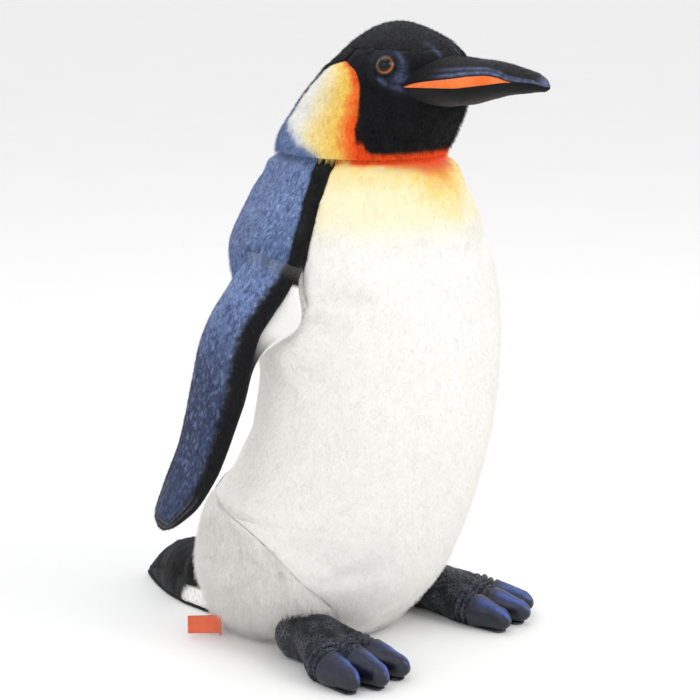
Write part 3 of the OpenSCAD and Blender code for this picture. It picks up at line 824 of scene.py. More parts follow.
def patch_tint(p, z, a):
    """Orange along the front edge, through yellow to white, with blue creeping in at the rear."""
    front = (a - along(PATCH_FRONT, z)) / DEG * SKIN_R + value_noise(p, 4, 5) * 2.2
    rear = (along(PATCH_BACK, z) - a) / DEG * SKIN_R + value_noise(p, 3, 6) * 2.5
    reach = 1 + 0.35 * step(z, 350, 306)
    t = mix3(WHITE, CREAM, step(front, 42, 26))
    t = mix3(t, YELLOW, step(front, 29 * reach, 9) * 0.9)
    t = mix3(t, ORANGE, step(front, 10 * reach, 2.5))
    t = mix3(t, THROAT, step(front, 3.2, 0.3) * 0.7)
    line = 303 + 17 * (a - 88) / 52 + value_noise(p, 2.6, 19) * 1.4
    t = mix3(t, (198, 204, 216), step(z, line + 6, line) * 0.7 * (a > 84))
    t = mix3(t, BLUE, step(z, line + 1.4, line - 0.8) * (a > 84))
    grey = step(rear, 5.5, 0.5) * step(z, 356, 346)
    return mix3(t, (128, 138, 160), grey * speckle(p, 0.75, 1.8, 9))


def back_tint(p, *_):
    return dashes(p, clouded(p, BLUE, (90, 109, 152), 26, 11), 12)


# printed blue lines of the hood: under the eye, over the beak, on the brow; width, strength
HOOD_MARKS = [
    ([(37.5, -67, 348), (36.6, -69.1, 347), (35.3, -71.8, 345.4), (34.1, -74.4, 344.4),
      (31.8, -77.6, 343.3), (30.1, -79.9, 342.7)], 2.1, 0.75),
    ([(32.8, -76.2, 348.3), (30, -79.8, 348.9), (26.9, -83, 349.4), (21.5, -87.4, 351),
      (12.6, -91.4, 352.8)], 2.2, 0.8),
    ([(11, -80.5, 368), (9.4, -85.6, 365), (9.2, -89.4, 361.4)], 2.6, 0.5),
]


def hood_tint(p, z, a):
    """Near-black hood with blue print round the eyes and along the beak root, and a painted sheen that
    greys the top of the head.
    """
    q = np.abs(p[..., 0:1]) * [1, 0, 0] + p * [0, 1, 1]
    t = clouded(p, BLACK, CHARCOAL, 14, 21)
    # painted highlight: the top of the head is greyed, a painted sheen of light on the crown
    t = mix3(t, (50, 51, 55), step(z, 356, 377) * 0.6)
    b = np.degrees(np.arctan2(q[..., 0] / half_w(z), (middle(z) - q[..., 1]) / half_d(z)))
    hem = 304.6 + 7 * np.exp(-np.maximum(0, 58 - b) / 4)
    t = mix3(t, THROAT, step(z, hem + 0.8, hem - 0.8) * (b < 66))
    eye = np.linalg.norm(q - EYE, axis=-1)
    noise = value_noise(p, 2.6, 22)
    ring = bump(eye - 9.5, 2.8) * (0.35 + 0.65 * step(-q[..., 1], 66, 78))
    lines = [bump(nearest(q, dense(line)), width) * depth for line, width, depth in HOOD_MARKS]
    marks = np.maximum.reduce([ring * 0.7] + lines)
    return mix3(t, (100, 114, 160), (marks * (0.8 + 0.5 * noise)).clip(0, 1))


def flat_tint(colour, other, scale, seed):
    """A tint that clouds from one colour to another all over a piece."""
    return lambda p, *_: clouded(p, colour, other, scale, seed)


# ------------------------------------------------------------------ sewn panels
PANEL = 2.2


def sewn(name, rows, spans, columns, tint, lines, bow=None, clump=0.3, proud=-1.3):
    """A sewn panel of the trunk or head skin between two edge angles at every row."""
    z = np.repeat(np.asarray(rows, float)[:, None], columns, 1)
    lo, hi = (np.array([spans(r)[k] for r in rows])[:, None] for k in (0, 1))
    a = lo + (hi - lo) * np.linspace(0, 1, columns)[None]
    p = skin(z, a)
    d = np.full(z.shape, float(proud))
    for line, depth, width in lines:
        d = d - depth * np.exp(-nearest(p, line) / width)
    d = d + clump * value_noise(p, 3.2, 31) + 0.5 * clump * value_noise(p, 14, 32)
    if bow is not None:
        d = d + bow(p, z, a)
    q = p + skin_normal(z, a) * d[..., None] + blown(z, a)
    return two_skins(name, q, q - outward(q) * PANEL, RIGHT, tint(p, z, np.abs(a)))


def edge_row(table):
    return lambda z: float(along(table, z))


BELLY_LINES = [(line, 1.7, 2.3) for line in trunk_lines()]


# ------------------------------------------------------------------ torso
def body_z(step_mm=2.4):
    return np.linspace(3, NECK_TOP, int(300 / step_mm))


def back_edge(z):
    if z < 88:
        return THIGH_BACK
    if z < 96:
        return THIGH_BACK + (float(along(BELLY_EDGE, z)) - THIGH_BACK) * float(ease((z - 88) / 8))
    return float(along(STRIPE_EDGE, z)) if z > 204 else float(along(BELLY_EDGE, z))


belly_edge, stripe_edge = edge_row(BELLY_EDGE), edge_row(STRIPE_EDGE)
patch_front, patch_back = edge_row(PATCH_FRONT), edge_row(PATCH_BACK)


NECK_TUCK, SHOULDER = 4.6, 6.5


def neck_tuck(z):
    """The top of the body dips in under the edge of the hood."""
    return -NECK_TUCK * step(z, 294, 302.6)


def belly_bow(p, z, a):
    """Neck tuck, and the soft folds where the belly meets the feet and the base."""
    b = np.abs(a)
    tuck = neck_tuck(z)
    pleat = 0.9 * np.sin(np.radians(b * 7)) * bump(z - 6, 14) * step(b, 70, 10)
    pull = -1.1 * bump(z - 34, 9) * bump(b - 44, 12)
    return tuck + pleat + pull


def shoulder(z, a):
    """The body swells where it runs out to the top of the flipper."""
    b = np.where(np.abs(a) > 180, 360 - np.abs(a), np.abs(a))
    return SHOULDER * bump(z - 250, 15) * bump(b - 112, 24)


def back_bow(p, z, a):
    return neck_tuck(z) + shoulder(z, a)


stuffed(sewn("belly", body_z(), lambda z: (-belly_edge(z), belly_edge(z)), 165, belly_tint,
             BELLY_LINES, belly_bow, 0.35),
        "torso", WHITE_PILE, ["belly_panel", "body_filling"], WHITE_STRAND,
        (1.5, 1.3, 1.4, 0.35, 11, 0.1))
stuffed(sewn("back", body_z(1.4), lambda z: (back_edge(z), 360 - back_edge(z)), 200, back_tint,
             BELLY_LINES, back_bow, 0.45),
        "torso", BLUE_PILE, ["back_panel"], BLUE_STRAND,
        (1.0, 1.4, 1.4, 0.4, 12, 0.1))


def stripe_tint(p, z, a):
    """Black, and white where its lower end runs in under the flipper."""
    t = clouded(p, BLACK, (42, 43, 46), 12, 41)
    return mix3(t, WHITE, step(z + value_noise(p, 3, 42), 243, 240))


# folds that run from the thigh seam into the thigh, as heights and angles
GATHERS = [
    [(65.3, 74), (44.7, 67), (24.6, 64)], [(56.5, 70.6), (36.2, 60.5), (30.1, 57)],
    [(40, 92), (26, 84), (12, 80)], [(78, 100), (66, 92), (58, 90)],
]


def side_name(side, what):
    return ("right_" if side == RIGHT else "left_") + what


def thigh_bow(p, z, a):
    return 1.5 * bump(z - 45, 26) * bump(np.abs(a) - 112, 28) + 0.6 * value_noise(p, 9, 51)


def thigh(side):
    gathers = [(dense([skin(z, side * a) for z, a in g]), 1.5, 1.8) for g in GATHERS]
    obj = sewn(side_name(side, "thigh"), np.linspace(3, 92, 38),
               lambda z: (side * belly_edge(z), side * THIGH_BACK), 64,
               flat_tint(WHITE, (231, 230, 226), 10, 52), BELLY_LINES + gathers, thigh_bow, 0.5, -1.0)
    stuffed(obj, "torso", LONG_PILE, [side_name(side, "thigh_panel")],
            WHITE_STRAND, (2.0, 2.4, 1.8, 0.8, 14 + side, 0.1))


def stripe(side):
    obj = sewn(side_name(side, "stripe"), np.linspace(205, NECK_TOP, 48),
               lambda z: (side * belly_edge(z), side * stripe_edge(z)), 9, stripe_tint,
               BELLY_LINES, back_bow)
    stuffed(obj, "torso", BLACK_PILE, [side_name(side, "side_stripe")],
            BLACK_STRAND, (1.6, 2.2, 1.2, 0.5, 16 + side))


for s in (RIGHT, LEFT):
    thigh(s)
    stripe(s)

RING_A = np.linspace(0, 360, 97)[:-1]


def base():
    share = np.concatenate([np.linspace(0.04, 0.9, 14), [0.94, 0.97, 0.99, 1.0, 1.0, 0.985, 0.96]])
    level = np.concatenate([np.full(14, 0.35), [0.9, 0.5, 0.5, 0.9, 2.6, 3.4, 3.2]])
    mid = np.array([0, float(middle(0.0)), 0])
    edge = skin(0.0, RING_A) * [1, 1, 0]
    rings = mid + (edge - mid) * share[:, None, None] * 0.985
    rings[..., 2] = level[:, None] + 0.25 * value_noise(rings, 7, 61) * (share < 0.92)[:, None]
    rings[..., 2] = np.maximum(rings[..., 2], 0.05)
    tint = flat_tint(WHITE, (226, 226, 222), 12, 62)(rings, None, None)
    stuffed(ring_solid("base", rings, tint), "torso", WHITE_PILE, ["base_panel"])


base()

# ------------------------------------------------------------------ head
HEAD_Z = np.concatenate([[HOOD_EDGE, 303.4, 304.6], np.arange(306, 364.5, 1.9), [365.2]])
HOOD_LINES = [(skin_line(t, s), 0.35, 2.0) for t in (PATCH_FRONT, PATCH_BACK) for s in (-1, 1)]
CHIN_LINE = dense([skin(z, 0) for z in np.linspace(HOOD_EDGE, 334, 30)])


def head_bow(p, z, a):
    return -0.9 * bump(z - HOOD_EDGE, 3.5)


def cheek(side):
    fold = dense([skin(z, side * a) for z, a in ((338, 20), (334.2, 16), (331.5, 9), (330.3, 0))])
    obj = sewn(side_name(side, "cheek"), HEAD_Z, lambda z: (0.0, side * patch_front(z)), 46,
               hood_tint, HOOD_LINES + [(CHIN_LINE, 0.15, 1.6), (fold, 1.2, 2.2)], head_bow)
    nodes = [side_name(side, "cheek_panel")] + ["head_filling"] * (side == RIGHT)
    stuffed(obj, "head", BLACK_PILE, nodes, BLACK_STRAND,
            (1.8, 1.7, 1.0, 0.5, 21 + side))


def patch(side):
    obj = sewn(side_name(side, "patch"), HEAD_Z[HEAD_Z < PATCH_TOP + 0.5],
               lambda z: (side * patch_front(z), side * patch_back(z)), 44, patch_tint,
               HOOD_LINES, head_bow)
    stuffed(obj, "head", NECK_PILE, [side_name(side, "neck_patch")],
            NECK_STRAND, (1.6, 2.0, 1.1, 0.5, 24 + side))


for s in (RIGHT, LEFT):
    cheek(s)
    patch(s)


def nape_tint(p, z, a):
    t = hood_tint(p, z, a)
    low = step(z, 345, 325)
    return mix3(t, back_tint(p, z, a), low * speckle(p, 0.5 + 0.5 * low, 2.2, 71))


stuffed(sewn("nape", HEAD_Z, lambda z: (patch_back(z), 360 - patch_back(z)), 46, nape_tint,
             HOOD_LINES, head_bow, 0.35),
        "head", BLACK_PILE, ["nape_panel"], BLACK_STRAND,
        (1.6, 2.1, 1.2, 0.5, 27))


def crown():
    z = np.array([364.6, 366.0, 367.6, 369, 370.4, 371.8, 373.2, 374.6, 375.9, 377, 378, 378.8, 379.4])
    grid = skin(z[:, None], RING_A[None])
    mid = np.stack([np.zeros_like(z), middle(z), z - 4], -1)[:, None]
    wide = grid + skin_normal(z[:, None], RING_A[None]) * (
        -1.3 + 0.3 * value_noise(grid, 3.2, 31) + 0.15 * value_noise(grid, 14, 32))[..., None]
    wide += blown(*np.broadcast_arrays(z[:, None], RING_A[None]))
    inner = wide[:1] + (mid[:1] - wide[:1]) * 0.09
    rings = np.concatenate([inner, wide])
    obj = ring_solid("crown", rings, hood_tint(rings, rings[..., 2], None), furred=True)
    stuffed(obj, "head", BLACK_PILE, ["crown_panel"], BLACK_STRAND,
            (1.8, 1.7, 0.6, 0.5, 28))


crown()


# ------------------------------------------------------------------ beak
def beak_tint(p, u, a):
    """Charcoal with a blue printed band over the mouth that narrows to the tip."""
    t = clouded(p, (30, 30, 33), (46, 47, 50), 8, 81)
    t = mix3(t, BLACK, step(u, 0.3, 0.05))
    over = np.where(a > 90, 180 - a, a) - along(MOUTH_RISE, u)
    band = 0.95 * bump(over - 8, 4.5) + 0.75 * bump(over - 23 * (1 - 0.3 * u), 5)
    band = band * step(u, 0.06, 0.16) * step(u, 0.99, 0.9) + bump(u - 1, 0.06)
    noise = 0.75 + 0.35 * value_noise(p, 1.6, 82)
    return mix3(t, BEAK_BLUE, (band.clip(0, 1) * noise).clip(0, 1))


def beak_piece(name, us, lo, hi, cols, tint, proud, material, nodes, seed, hair=None):
    """A panel of the beak's skin, from angle lo to angle hi at each share u of its length."""
    us = np.asarray(us)
    u = np.repeat(us[:, None], cols, 1)
    t = np.linspace(0, 1, cols)[None]
    a = lo(us)[:, None] * (1 - t) + hi(us)[:, None] * t
    p = beak(u, a)
    out = p - (beak(us, 0.0) + beak(us, 180.0))[:, None] / 2
    out[..., 1] = 0
    out /= np.maximum(np.linalg.norm(out, axis=-1, keepdims=True), 1e-6)
    edge = np.minimum(t, 1 - t) * np.linalg.norm(p[:, :1] - p[:, -1:], axis=-1) * 1.5
    d = proud - 0.55 * np.exp(-edge / 0.9) + 0.16 * value_noise(p, 2.4, 83 + seed)
    q = p + out * d[..., None]
    thick = np.minimum(1.6, 0.55 * np.maximum(along(BEAK, us, 2), 0.8))[:, None, None]
    obj = two_skins(name, q, q - out * thick, RIGHT, tint(p, u, a))
    stuffed(obj, "head", material, nodes, BLACK_STRAND if hair else None, hair)


def const(value):
    return lambda u: np.full(len(u), float(value))


def mouth(u):
    """How far up from the side the orange stripe reaches."""
    return np.where(u < 0.7, along(MOUTH_RISE, u), 0.0)


def over_mouth(u):
    return 180 - mouth(u)


BEAK_U = np.concatenate([np.linspace(0, 0.9, 64), np.linspace(0.915, 1, 12)])
STRIPE_U = np.linspace(0, 0.71, 50)
beak_piece("upper_beak", BEAK_U, mouth, over_mouth, 46, beak_tint, -0.3, BEAK_CLOTH,
           ["upper_beak_panel", "beak_filling"], 1, (2.2, 0.8, 0.2, 0.5, 92, 0.08))
beak_piece("lower_beak", BEAK_U, const(180), const(360), 46,
           flat_tint((15, 15, 17), (28, 28, 31), 8, 84), -0.3, BEAK_CLOTH,
           ["lower_beak_panel"], 2, (2.2, 0.8, 0.2, 0.5, 93, 0.08))
for s, lo, hi, seed in ((RIGHT, over_mouth, const(180), 4), (LEFT, const(0), mouth, 3)):
    beak_piece(side_name(s, "mouth"), STRIPE_U, lo, hi, 9,
               flat_tint(BEAK_ORANGE, (248, 134, 68), 9, 85), -0.15, ORANGE_CLOTH,
               [side_name(s, "beak_stripe")], seed)


# ------------------------------------------------------------------ eyes
EYE_PROFILE = [
    (0.2, -3.0), (4.4, -3.0), (5.6, -0.9), (5.95, 0.1), (5.85, 0.8), (5.4, 1.15), (5.1, 1.2),
    (4.85, 1.35), (4.4, 1.75), (3.7, 2.6), (2.9, 3.3), (2.0, 3.8), (1.1, 4.05), (0.15, 4.15),
]
EYE_TONES = [
    BLACK, BLACK, BLACK, (20, 17, 16), (22, 18, 16), (24, 18, 15), (30, 18, 13), (112, 60, 26),
    (104, 56, 24), (18, 12, 9), (6, 5, 5), (5, 5, 5), (5, 5, 5), (5, 5, 5),
]


def across(axis):
    """Two unit vectors across an axis: level, and the one at right angles to both."""
    east = np.cross([0, 0, 1], axis)
    east /= np.linalg.norm(east)
    return east, np.cross(axis, east)


def eye(side):
    """Moulded eye: a shallow lens over a dark rim with an amber line inside it."""
    out = EYE_OUT / np.linalg.norm(EYE_OUT)
    east, north = across(out)
    angle = np.radians(np.arange(0, 360, 360 / 56))[None, :, None]
    r, h = np.array(EYE_PROFILE).T[:, :, None, None]
    rings = EYE + out * (0.5 + h) + r * (east * np.cos(angle) + north * np.sin(angle))
    tint = np.repeat(np.array(EYE_TONES, float)[:, None], rings.shape[1], 1)
    # painted light: the amber iris line is brightened towards its lower side, standing in for light
    # focused through the lens
    painted_iris_light = 1 + 0.5 * np.clip(-np.sin(angle[..., 0] + 0.6), 0, 1)
    tint[7:9] = tint[7:9] * painted_iris_light[..., None]
    obj = ring_solid(side_name(side, "eyeball"), rings * [-1, 1, 1], tint, side)
    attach(obj, "head")
    dress(obj, EYE_PLASTIC)
    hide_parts(side_name(side, "eye"))


for s in (RIGHT, LEFT):
    eye(s)


# ------------------------------------------------------------------ flippers
FLIPPER_COLS, FLIPPER_L = 64, 175
LOBE = 17.0  # the white fold of cloth at the root of the inner face
FLIPPER_S = np.concatenate([np.linspace(-14, 0, 12), np.arange(1.3, 166, 1.3),
                            np.arange(166.5, 175.1, 1.4)])


def flipper_tint(p, s, a):
    """Outer face: dark blue, black along the leading edge, charcoal round the tip, and painted crease
    shade at the root.
    """
    share = (1 - np.cos(np.radians(a))) / 2
    speck = value_noise(p, 2.4, 101) * 0.07 + value_noise(p, 1.2, 106) * 0.05
    t = clouded(p, (72, 84, 116), (44, 52, 80), 24, 102)
    t = mix3((112, 132, 176), t, step(s, 20, 95))
    t = dashes(p, t, 103)
    t = mix3(t, NAVY, step(s, 120, 160) * 0.6)
    t = mix3(t, (17, 17, 20), step(share + 0.5 * speck, 0.32, 0.15))
    # painted shade: the rows at and above the hinge are darkened a fifth, a painted crease shadow
    # where the flipper folds in to the body
    t = t * (1 - 0.2 * step(s, 4, -8))[..., None]
    t = mix3(t, (40, 42, 50), step(share - speck, 0.93, 0.97) * step(s, 30, 90))
    return mix3(t, (34, 36, 42), step(s + speck * 20, 166, 170))


def inner_tint(p, s, a):
    t = clouded(p, WHITE, (230, 230, 226), 18, 104)
    rim = np.abs(np.sin(np.radians(a)))
    share = (1 - np.cos(np.radians(a))) / 2
    root = np.maximum(step(s, 6, 0), step(s, 40, 10) * step(share, 0.86, 0.96))
    t = mix3(t, BLUE, root * step(share, 0.22, 0.3))
    t = mix3(t, (17, 17, 20), step(s, 2, 0) * step(share, 0.3, 0.22))
    return mix3(t, (20, 20, 23), step(rim, 0.2, 0.12) * step(s, 30, 60))


ROOT = 14.0  # how much of the flipper's cloth is rolled in above the hinge


def rooted(q, s, a):
    """Rolls the rows above the hinge over and in to the trunk skin."""
    w = np.clip(-s / ROOT, 0, 1)[..., None]
    share = (1 - np.cos(np.radians(a))) / 2
    inner = np.clip(-np.sin(np.radians(a)), 0, 1)
    z = 243 + 5 * np.minimum(1, share * 1.6) - 7 * inner
    b = -(78 + 36 * share)
    goal = skin(z, b) + skin_normal(z, b) * (shoulder(z, b) - 4.5)[..., None]
    first = q[np.argmin(np.abs(s[:, 0]))][None]
    turn = w * math.pi / 2
    xy = first[..., :2] * np.cos(turn) + goal[..., :2] * (1 - np.cos(turn))
    z = first[..., 2:] + (goal[..., 2:] - first[..., 2:]) * np.sin(turn)
    return np.where(w > 0, np.concatenate([xy, z], -1), q)


def flipper_half(side, name, lo, hi, tint, material, strand, nodes, seed):
    """One face of a flipper, between angles lo and hi of its section, bent over at the shoulder."""
    white = lo > 0
    toward = (1, 0, 0) if white else (-1, 0, 0)
    s = np.repeat(FLIPPER_S[:, None], FLIPPER_COLS, 1)
    a = np.repeat(np.linspace(lo, hi, FLIPPER_COLS)[None], len(FLIPPER_S), 0)
    p = flipper_local(np.maximum(s, 0) + 0.001 * s, a)
    n = outward(p, toward)
    rim = np.minimum(np.abs(np.sin(np.radians(a))), 1)
    thick = along(FLIPPER, s, 3)
    dent = -0.7 * bump(s - 14, 9) * rim + 0.5 * value_noise(p, 30, 111 + seed) * rim
    face = ease(rim / 0.55)
    d = -0.35 - 0.75 * face + dent + 0.35 * face * value_noise(p, 3.2, 112)
    d = np.where(s > 168, d * 0.6, d)
    # two rows of stitching near the tip
    share = (1 - np.cos(np.radians(a))) / 2
    edge = np.minimum(np.minimum(share, 1 - share) * 28, np.abs(FLIPPER_L - s))
    rows = np.exp(-((edge - 3.0) / 0.7) ** 2) + np.exp(-((edge - 5.6) / 0.7) ** 2)
    stitching = step(s, 138, 152) * rows
    colours = tint(p, s, a)
    if white:
        d = d - 0.5 * (1 - face) * step(s, 20, 50)
    else:
        d = d - 0.45 * stitching
        colours = mix3(colours, (96, 98, 104), 0.75 * stitching.clip(0, 1))
    puff = sample(FLIPPER_PUFF, FLIPPER_ROWS, np.maximum(s, 0), a) * (
        step(s, 4, 24) * face * step(s, FLIPPER_L, 150))[..., None]
    # no deeper than a sixth of the thickness, so the two faces never cross
    d = np.maximum(d, -0.17 * thick * rim ** 1.5 - 0.05 - (puff * n).sum(-1))
    q = p + n * d[..., None] + puff
    if white:
        lobe = np.sin(math.pi * np.clip((360 - a) / 130, 0, 1) ** 0.5) * bump(s - 25, 20)
        q = q + np.array([0.5, -0.86, 0]) * (LOBE * lobe)[..., None]
    q = rooted(hang(q), s, a)
    inner = q - outward(q, toward) * np.minimum(1.8, 0.15 * thick * rim ** 1.5 + 0.12)[..., None]
    obj = two_skins(name, q, inner, side, colours, rim > (0.35 if white else 0.0))
    stuffed(obj, None, material, nodes, strand, (2.0, 0.9, 0.9, 0.4, seed, 0.1))
    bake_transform(obj)


for s in (RIGHT, LEFT):
    body = side_name(s, "flipper")
    flipper_half(s, side_name(s, "flipper_face"), 0, 180, flipper_tint, BLUE_PILE, BLUE_STRAND,
                 [body + "_outer_panel", body + "_filling", side_name(s, "shoulder_seam")],
                 121 + s)
    flipper_half(s, side_name(s, "flipper_back"), 180, 360, inner_tint, WHITE_PILE, WHITE_STRAND,
                 [body + "_inner_panel"], 125 + s)


# ------------------------------------------------------------------ tail
def tail_top():
    u = np.repeat(np.linspace(0, 1, 52)[:, None], 60, 1)
    a = np.repeat(np.linspace(0, 180, 60)[None], 52, 0)
    p = tail(u, a)
    crease = -1.5 * (bump(a - 24, 5) + bump(a - 156, 5)) * step(u, 1.0, 0.8)
    ridge = 1.2 * bump(a - 90, 14) * step(u, 0.0, 0.3)
    d = -1.1 + crease + ridge + 0.4 * value_noise(p, 3.4, 131) + 0.5 * value_noise(p, 16, 132)
    puff = sample(TAIL_PUFF, TAIL_ROWS, u, a * (LIMB_COLS - 1) / LIMB_COLS)
    q = p + outward(p, (0, 0, 1)) * d[..., None] + puff
    q[..., 2] = np.maximum(q[..., 2], 0.8)
    t = clouded(p, (15, 15, 17), (31, 31, 34), 13, 133)
    t = mix3(t, (44, 45, 48), (step(a, 24, 14) + step(a, 156, 166)) * 0.5)
    low = np.minimum(a, 180 - a)
    t = mix3(t, WHITE, step(u + (low / 60) ** 2, 0.27, 0.23) * step(low, 15, 12))
    obj = two_skins("tail_top", q, q - outward(q) * PANEL, RIGHT, t)
    stuffed(obj, "torso", BLACK_PILE, ["tail_top_panel", "tail_filling"],
            BLACK_STRAND, (1.7, 2.4, 0.8, 0.6, 29))


def tail_under():
    u = np.linspace(0, 0.99, 40)
    left, right = tail(u, 180.0), tail(u, 0.0)
    mid, half = (left + right) / 2, (left - right) / 2
    q = mid[:, None] + half[:, None] * np.linspace(-0.97, 0.97, 34)[None, :, None]
    root = middle(2.4) + half_d(2.4) * round_cut(q[..., 0], half_w(2.4)) + 0.8
    line = np.maximum(root, along(TAIL, u, 1)[:, None])
    q[..., 1] = root + (line - root) * ease(u / 0.25)[:, None]
    q[..., 2] = np.maximum(0.7 + 0.25 * value_noise(q, 8, 134), 0.2)
    upper = q - outward(q, (0, 0, -1)) * 1.6
    upper[..., 2] = q[..., 2] + 1.6
    obj = two_skins("tail_under", q, upper, RIGHT, flat_tint(BLACK, CHARCOAL, 10, 135)(q, 0, 0))
    stuffed(obj, "torso", BLACK_PILE, ["tail_underside"])


tail_top()
tail_under()


# ------------------------------------------------------------------ feet
def capsule(a, b, ra, rb, rows=14, cols=28):
    """Rings round a tapered capsule from a to b."""
    a, b = np.asarray(a, float), np.asarray(b, float)
    axis = (b - a) / np.linalg.norm(b - a)
    east, north = across(axis)
    ang = np.radians(circle(cols))
    rings = []
    for deg in np.linspace(-90, 90, rows):
        r, c = (ra, a) if deg < 0 else (rb, b)
        k = np.radians(np.clip(deg, -88, 88))
        rings.append(c + axis * r * math.sin(k) + r * math.cos(k)
                     * (east * np.cos(ang)[:, None] + north * np.sin(ang)[:, None]))
    return np.array(rings)


def melt(parts, voxel_mm, smooth):
    """Points, normals and faces of one even skin round several overlapping tubes of rings."""
    objs = [ring_solid("part", rings) for rings in parts]
    bpy.ops.object.select_all(action="DESELECT")
    for o in objs:
        o.select_set(True)
    obj = bpy.context.view_layer.objects.active = objs[0]
    bpy.ops.object.join()
    remesh = obj.modifiers.new("remesh", "REMESH")
    remesh.mode, remesh.voxel_size = "VOXEL", voxel_mm * MM
    soft = obj.modifiers.new("soft", "SMOOTH")
    soft.factor, soft.iterations = 0.5, smooth
    done = obj.evaluated_get(bpy.context.evaluated_depsgraph_get()).to_mesh()
    co, nor = np.empty(len(done.vertices) * 3), np.empty(len(done.vertices) * 3)
    done.vertices.foreach_get("co", co)
    done.vertex_normals.foreach_get("vector", nor)
    faces = [list(f.vertices) for f in done.polygons]
    bpy.data.objects.remove(obj)
    return co.reshape(-1, 3) / MM, nor.reshape(-1, 3), faces


def toe_axis(i):
    """Tip and knuckle of a toe, and the way it points."""
    tip, back = np.array(TOE_TIPS[i], float), np.array(KNUCKLES[i], float)
    return tip, back, (tip - back) / np.linalg.norm(tip - back)


def foot_piece(side, what, co, faces, tint, nodes):
    obj = make_mesh(side_name(side, what), co * [-1, 1, 1], faces, side, tint)
    stuffed(obj, "torso", FOOT_CLOTH, [side_name(side, n) for n in nodes])


def foot(side):
    """Uppers: one skin round instep, knuckles and toes, with rings of slack cloth behind each cap."""
    slack, floor_z = 1.1, 1.4
    parts = []
    for i in range(3):
        tip, back, v = toe_axis(i)
        parts.append(capsule(back, tip - v * 6, KNUCKLE_R - slack, TOE_R - 2 * slack))
        parts.append(capsule(INSTEP, back, INSTEP_R - slack, KNUCKLE_R - slack))
    parts.append(capsule(ANKLE, INSTEP, ANKLE_R - slack, INSTEP_R - slack))
    co, nor, faces = melt(parts, 1.15, 8)
    d = np.zeros(len(co))
    to_cap = np.full(len(co), 99.0)
    for i in range(3):
        tip, _, v = toe_axis(i)
        x = (co - tip) @ v
        near = np.linalg.norm(co - tip - x[:, None] * v, axis=1) < 13
        s = CAP_START - x
        d = np.where(near & (s > -3), 1.5 * np.cos(s * 2 * math.pi / 4.2) * bump(s - 6.5, 7), d)
        to_cap = np.where(near, np.minimum(to_cap, np.abs(s)), to_cap)
    d += 0.5 * value_noise(co, 9, 141) + 0.25 * value_noise(co, 3, 142) + 0.2
    co = co + nor * d[:, None]
    above = co[:, 2] - floor_z
    co[:, 2] = np.maximum(floor_z + np.where(above < 2, above * 0.5, above), floor_z)
    tint = clouded(co, (7, 8, 14), (19, 23, 40), 12, 143)
    # painted highlight: the raised rings of slack cloth behind each cap are lightened by how far they
    # stand out, and the valleys between them stay dark
    tint = mix3(tint, (66, 72, 98), np.clip(d, 0, 1.4) * 0.45 * (to_cap < 16))
    foot_piece(side, "foot", co, faces, tint, ["foot_upper", "foot_filling"])


def cap(side, i, node):
    """Satin toe cap: rings from a rolled lip to the rounded tip, flat where it rests."""
    tip, back, v = toe_axis(i)
    east, north = across(v)
    span = np.linalg.norm(tip - back)
    ang = np.radians(circle(48))
    c, s = np.cos(ang), np.sin(ang)
    wide, high = np.sign(c) * np.abs(c) ** 0.94, np.sign(s) * np.abs(s) ** 0.97
    x = np.concatenate([
        CAP_START + np.array([1.6, 0.2, 0, 0.4]), np.linspace(CAP_START + 1.2, 0, 14),
        TOE_R * np.sin(np.radians([10, 20, 30, 40, 50, 60, 70, 78, 84, 88])),
    ])
    lip = np.concatenate([[-2.2, -1.3, -0.2, 0.45], np.linspace(0.35, 0, 14), np.zeros(10)])
    rings = []
    for pos, extra in zip(x, lip):
        if pos <= 0:
            r = TOE_R + (KNUCKLE_R - TOE_R) * (-pos / span) + extra - 0.25
        else:
            r = math.sqrt(max(TOE_R**2 - pos**2, 0.02)) - 0.25 * (pos < 8)
        taper = float(step(pos, -18, 9))
        rings.append(tip + v * min(pos, TOE_R - 0.2) + r * (
            east * (wide * (0.985 - 0.36 * taper))[:, None]
            + north * (high * (1 - 0.2 * taper))[:, None]))
    rings = np.array(rings)
    seam = bump((ang - math.pi / 2) * DEG, 9)[None] * step(x, -2, 5)[:, None]
    nub = 0.4 * value_noise(rings, 7, 151 + i) + 0.2 * value_noise(rings, 2.5, 152)
    out = rings - (tip + v * x[:, None])[:, None]
    out /= np.maximum(np.linalg.norm(out, axis=-1, keepdims=True), 1e-6)
    fade = np.clip((TOE_R - x)[:, None, None] / 6, 0, 1)
    rings = rings + out * (nub - 0.35 * seam)[..., None] * fade
    rings[..., 2] = np.maximum(rings[..., 2], 0.6)
    every = np.ones_like(nub)
    t = clouded(rings, (6, 8, 20), (20, 30, 66), 6, 153 + i)
    # painted highlight: a bright blue band along the top of each cap, and the whole upper side a
    # little lighter
    painted_top_highlight = np.exp(-((ang - 1.9) / 0.42) ** 2)[None] * step(x, -18, -8)[:, None]
    t = mix3(t, (62, 96, 182), 0.75 * painted_top_highlight + 0.08 * np.clip(s, 0, 1)[None] ** 2)
    # painted shade: the lower side of each cap is darkened towards near-black
    t = mix3(t, (8, 9, 16), 0.7 * step(s, 0.25, -0.2)[None] * every)
    t = mix3(t, (40, 46, 66), 0.6 * step(x, CAP_START + 2.2, CAP_START + 0.5)[:, None] * every)
    obj = ring_solid(side_name(side, "toe_%d" % (i + 1)), rings * [-1, 1, 1], t, side)
    stuffed(obj, "torso", TOE_CLOTH, [side_name(side, node)])


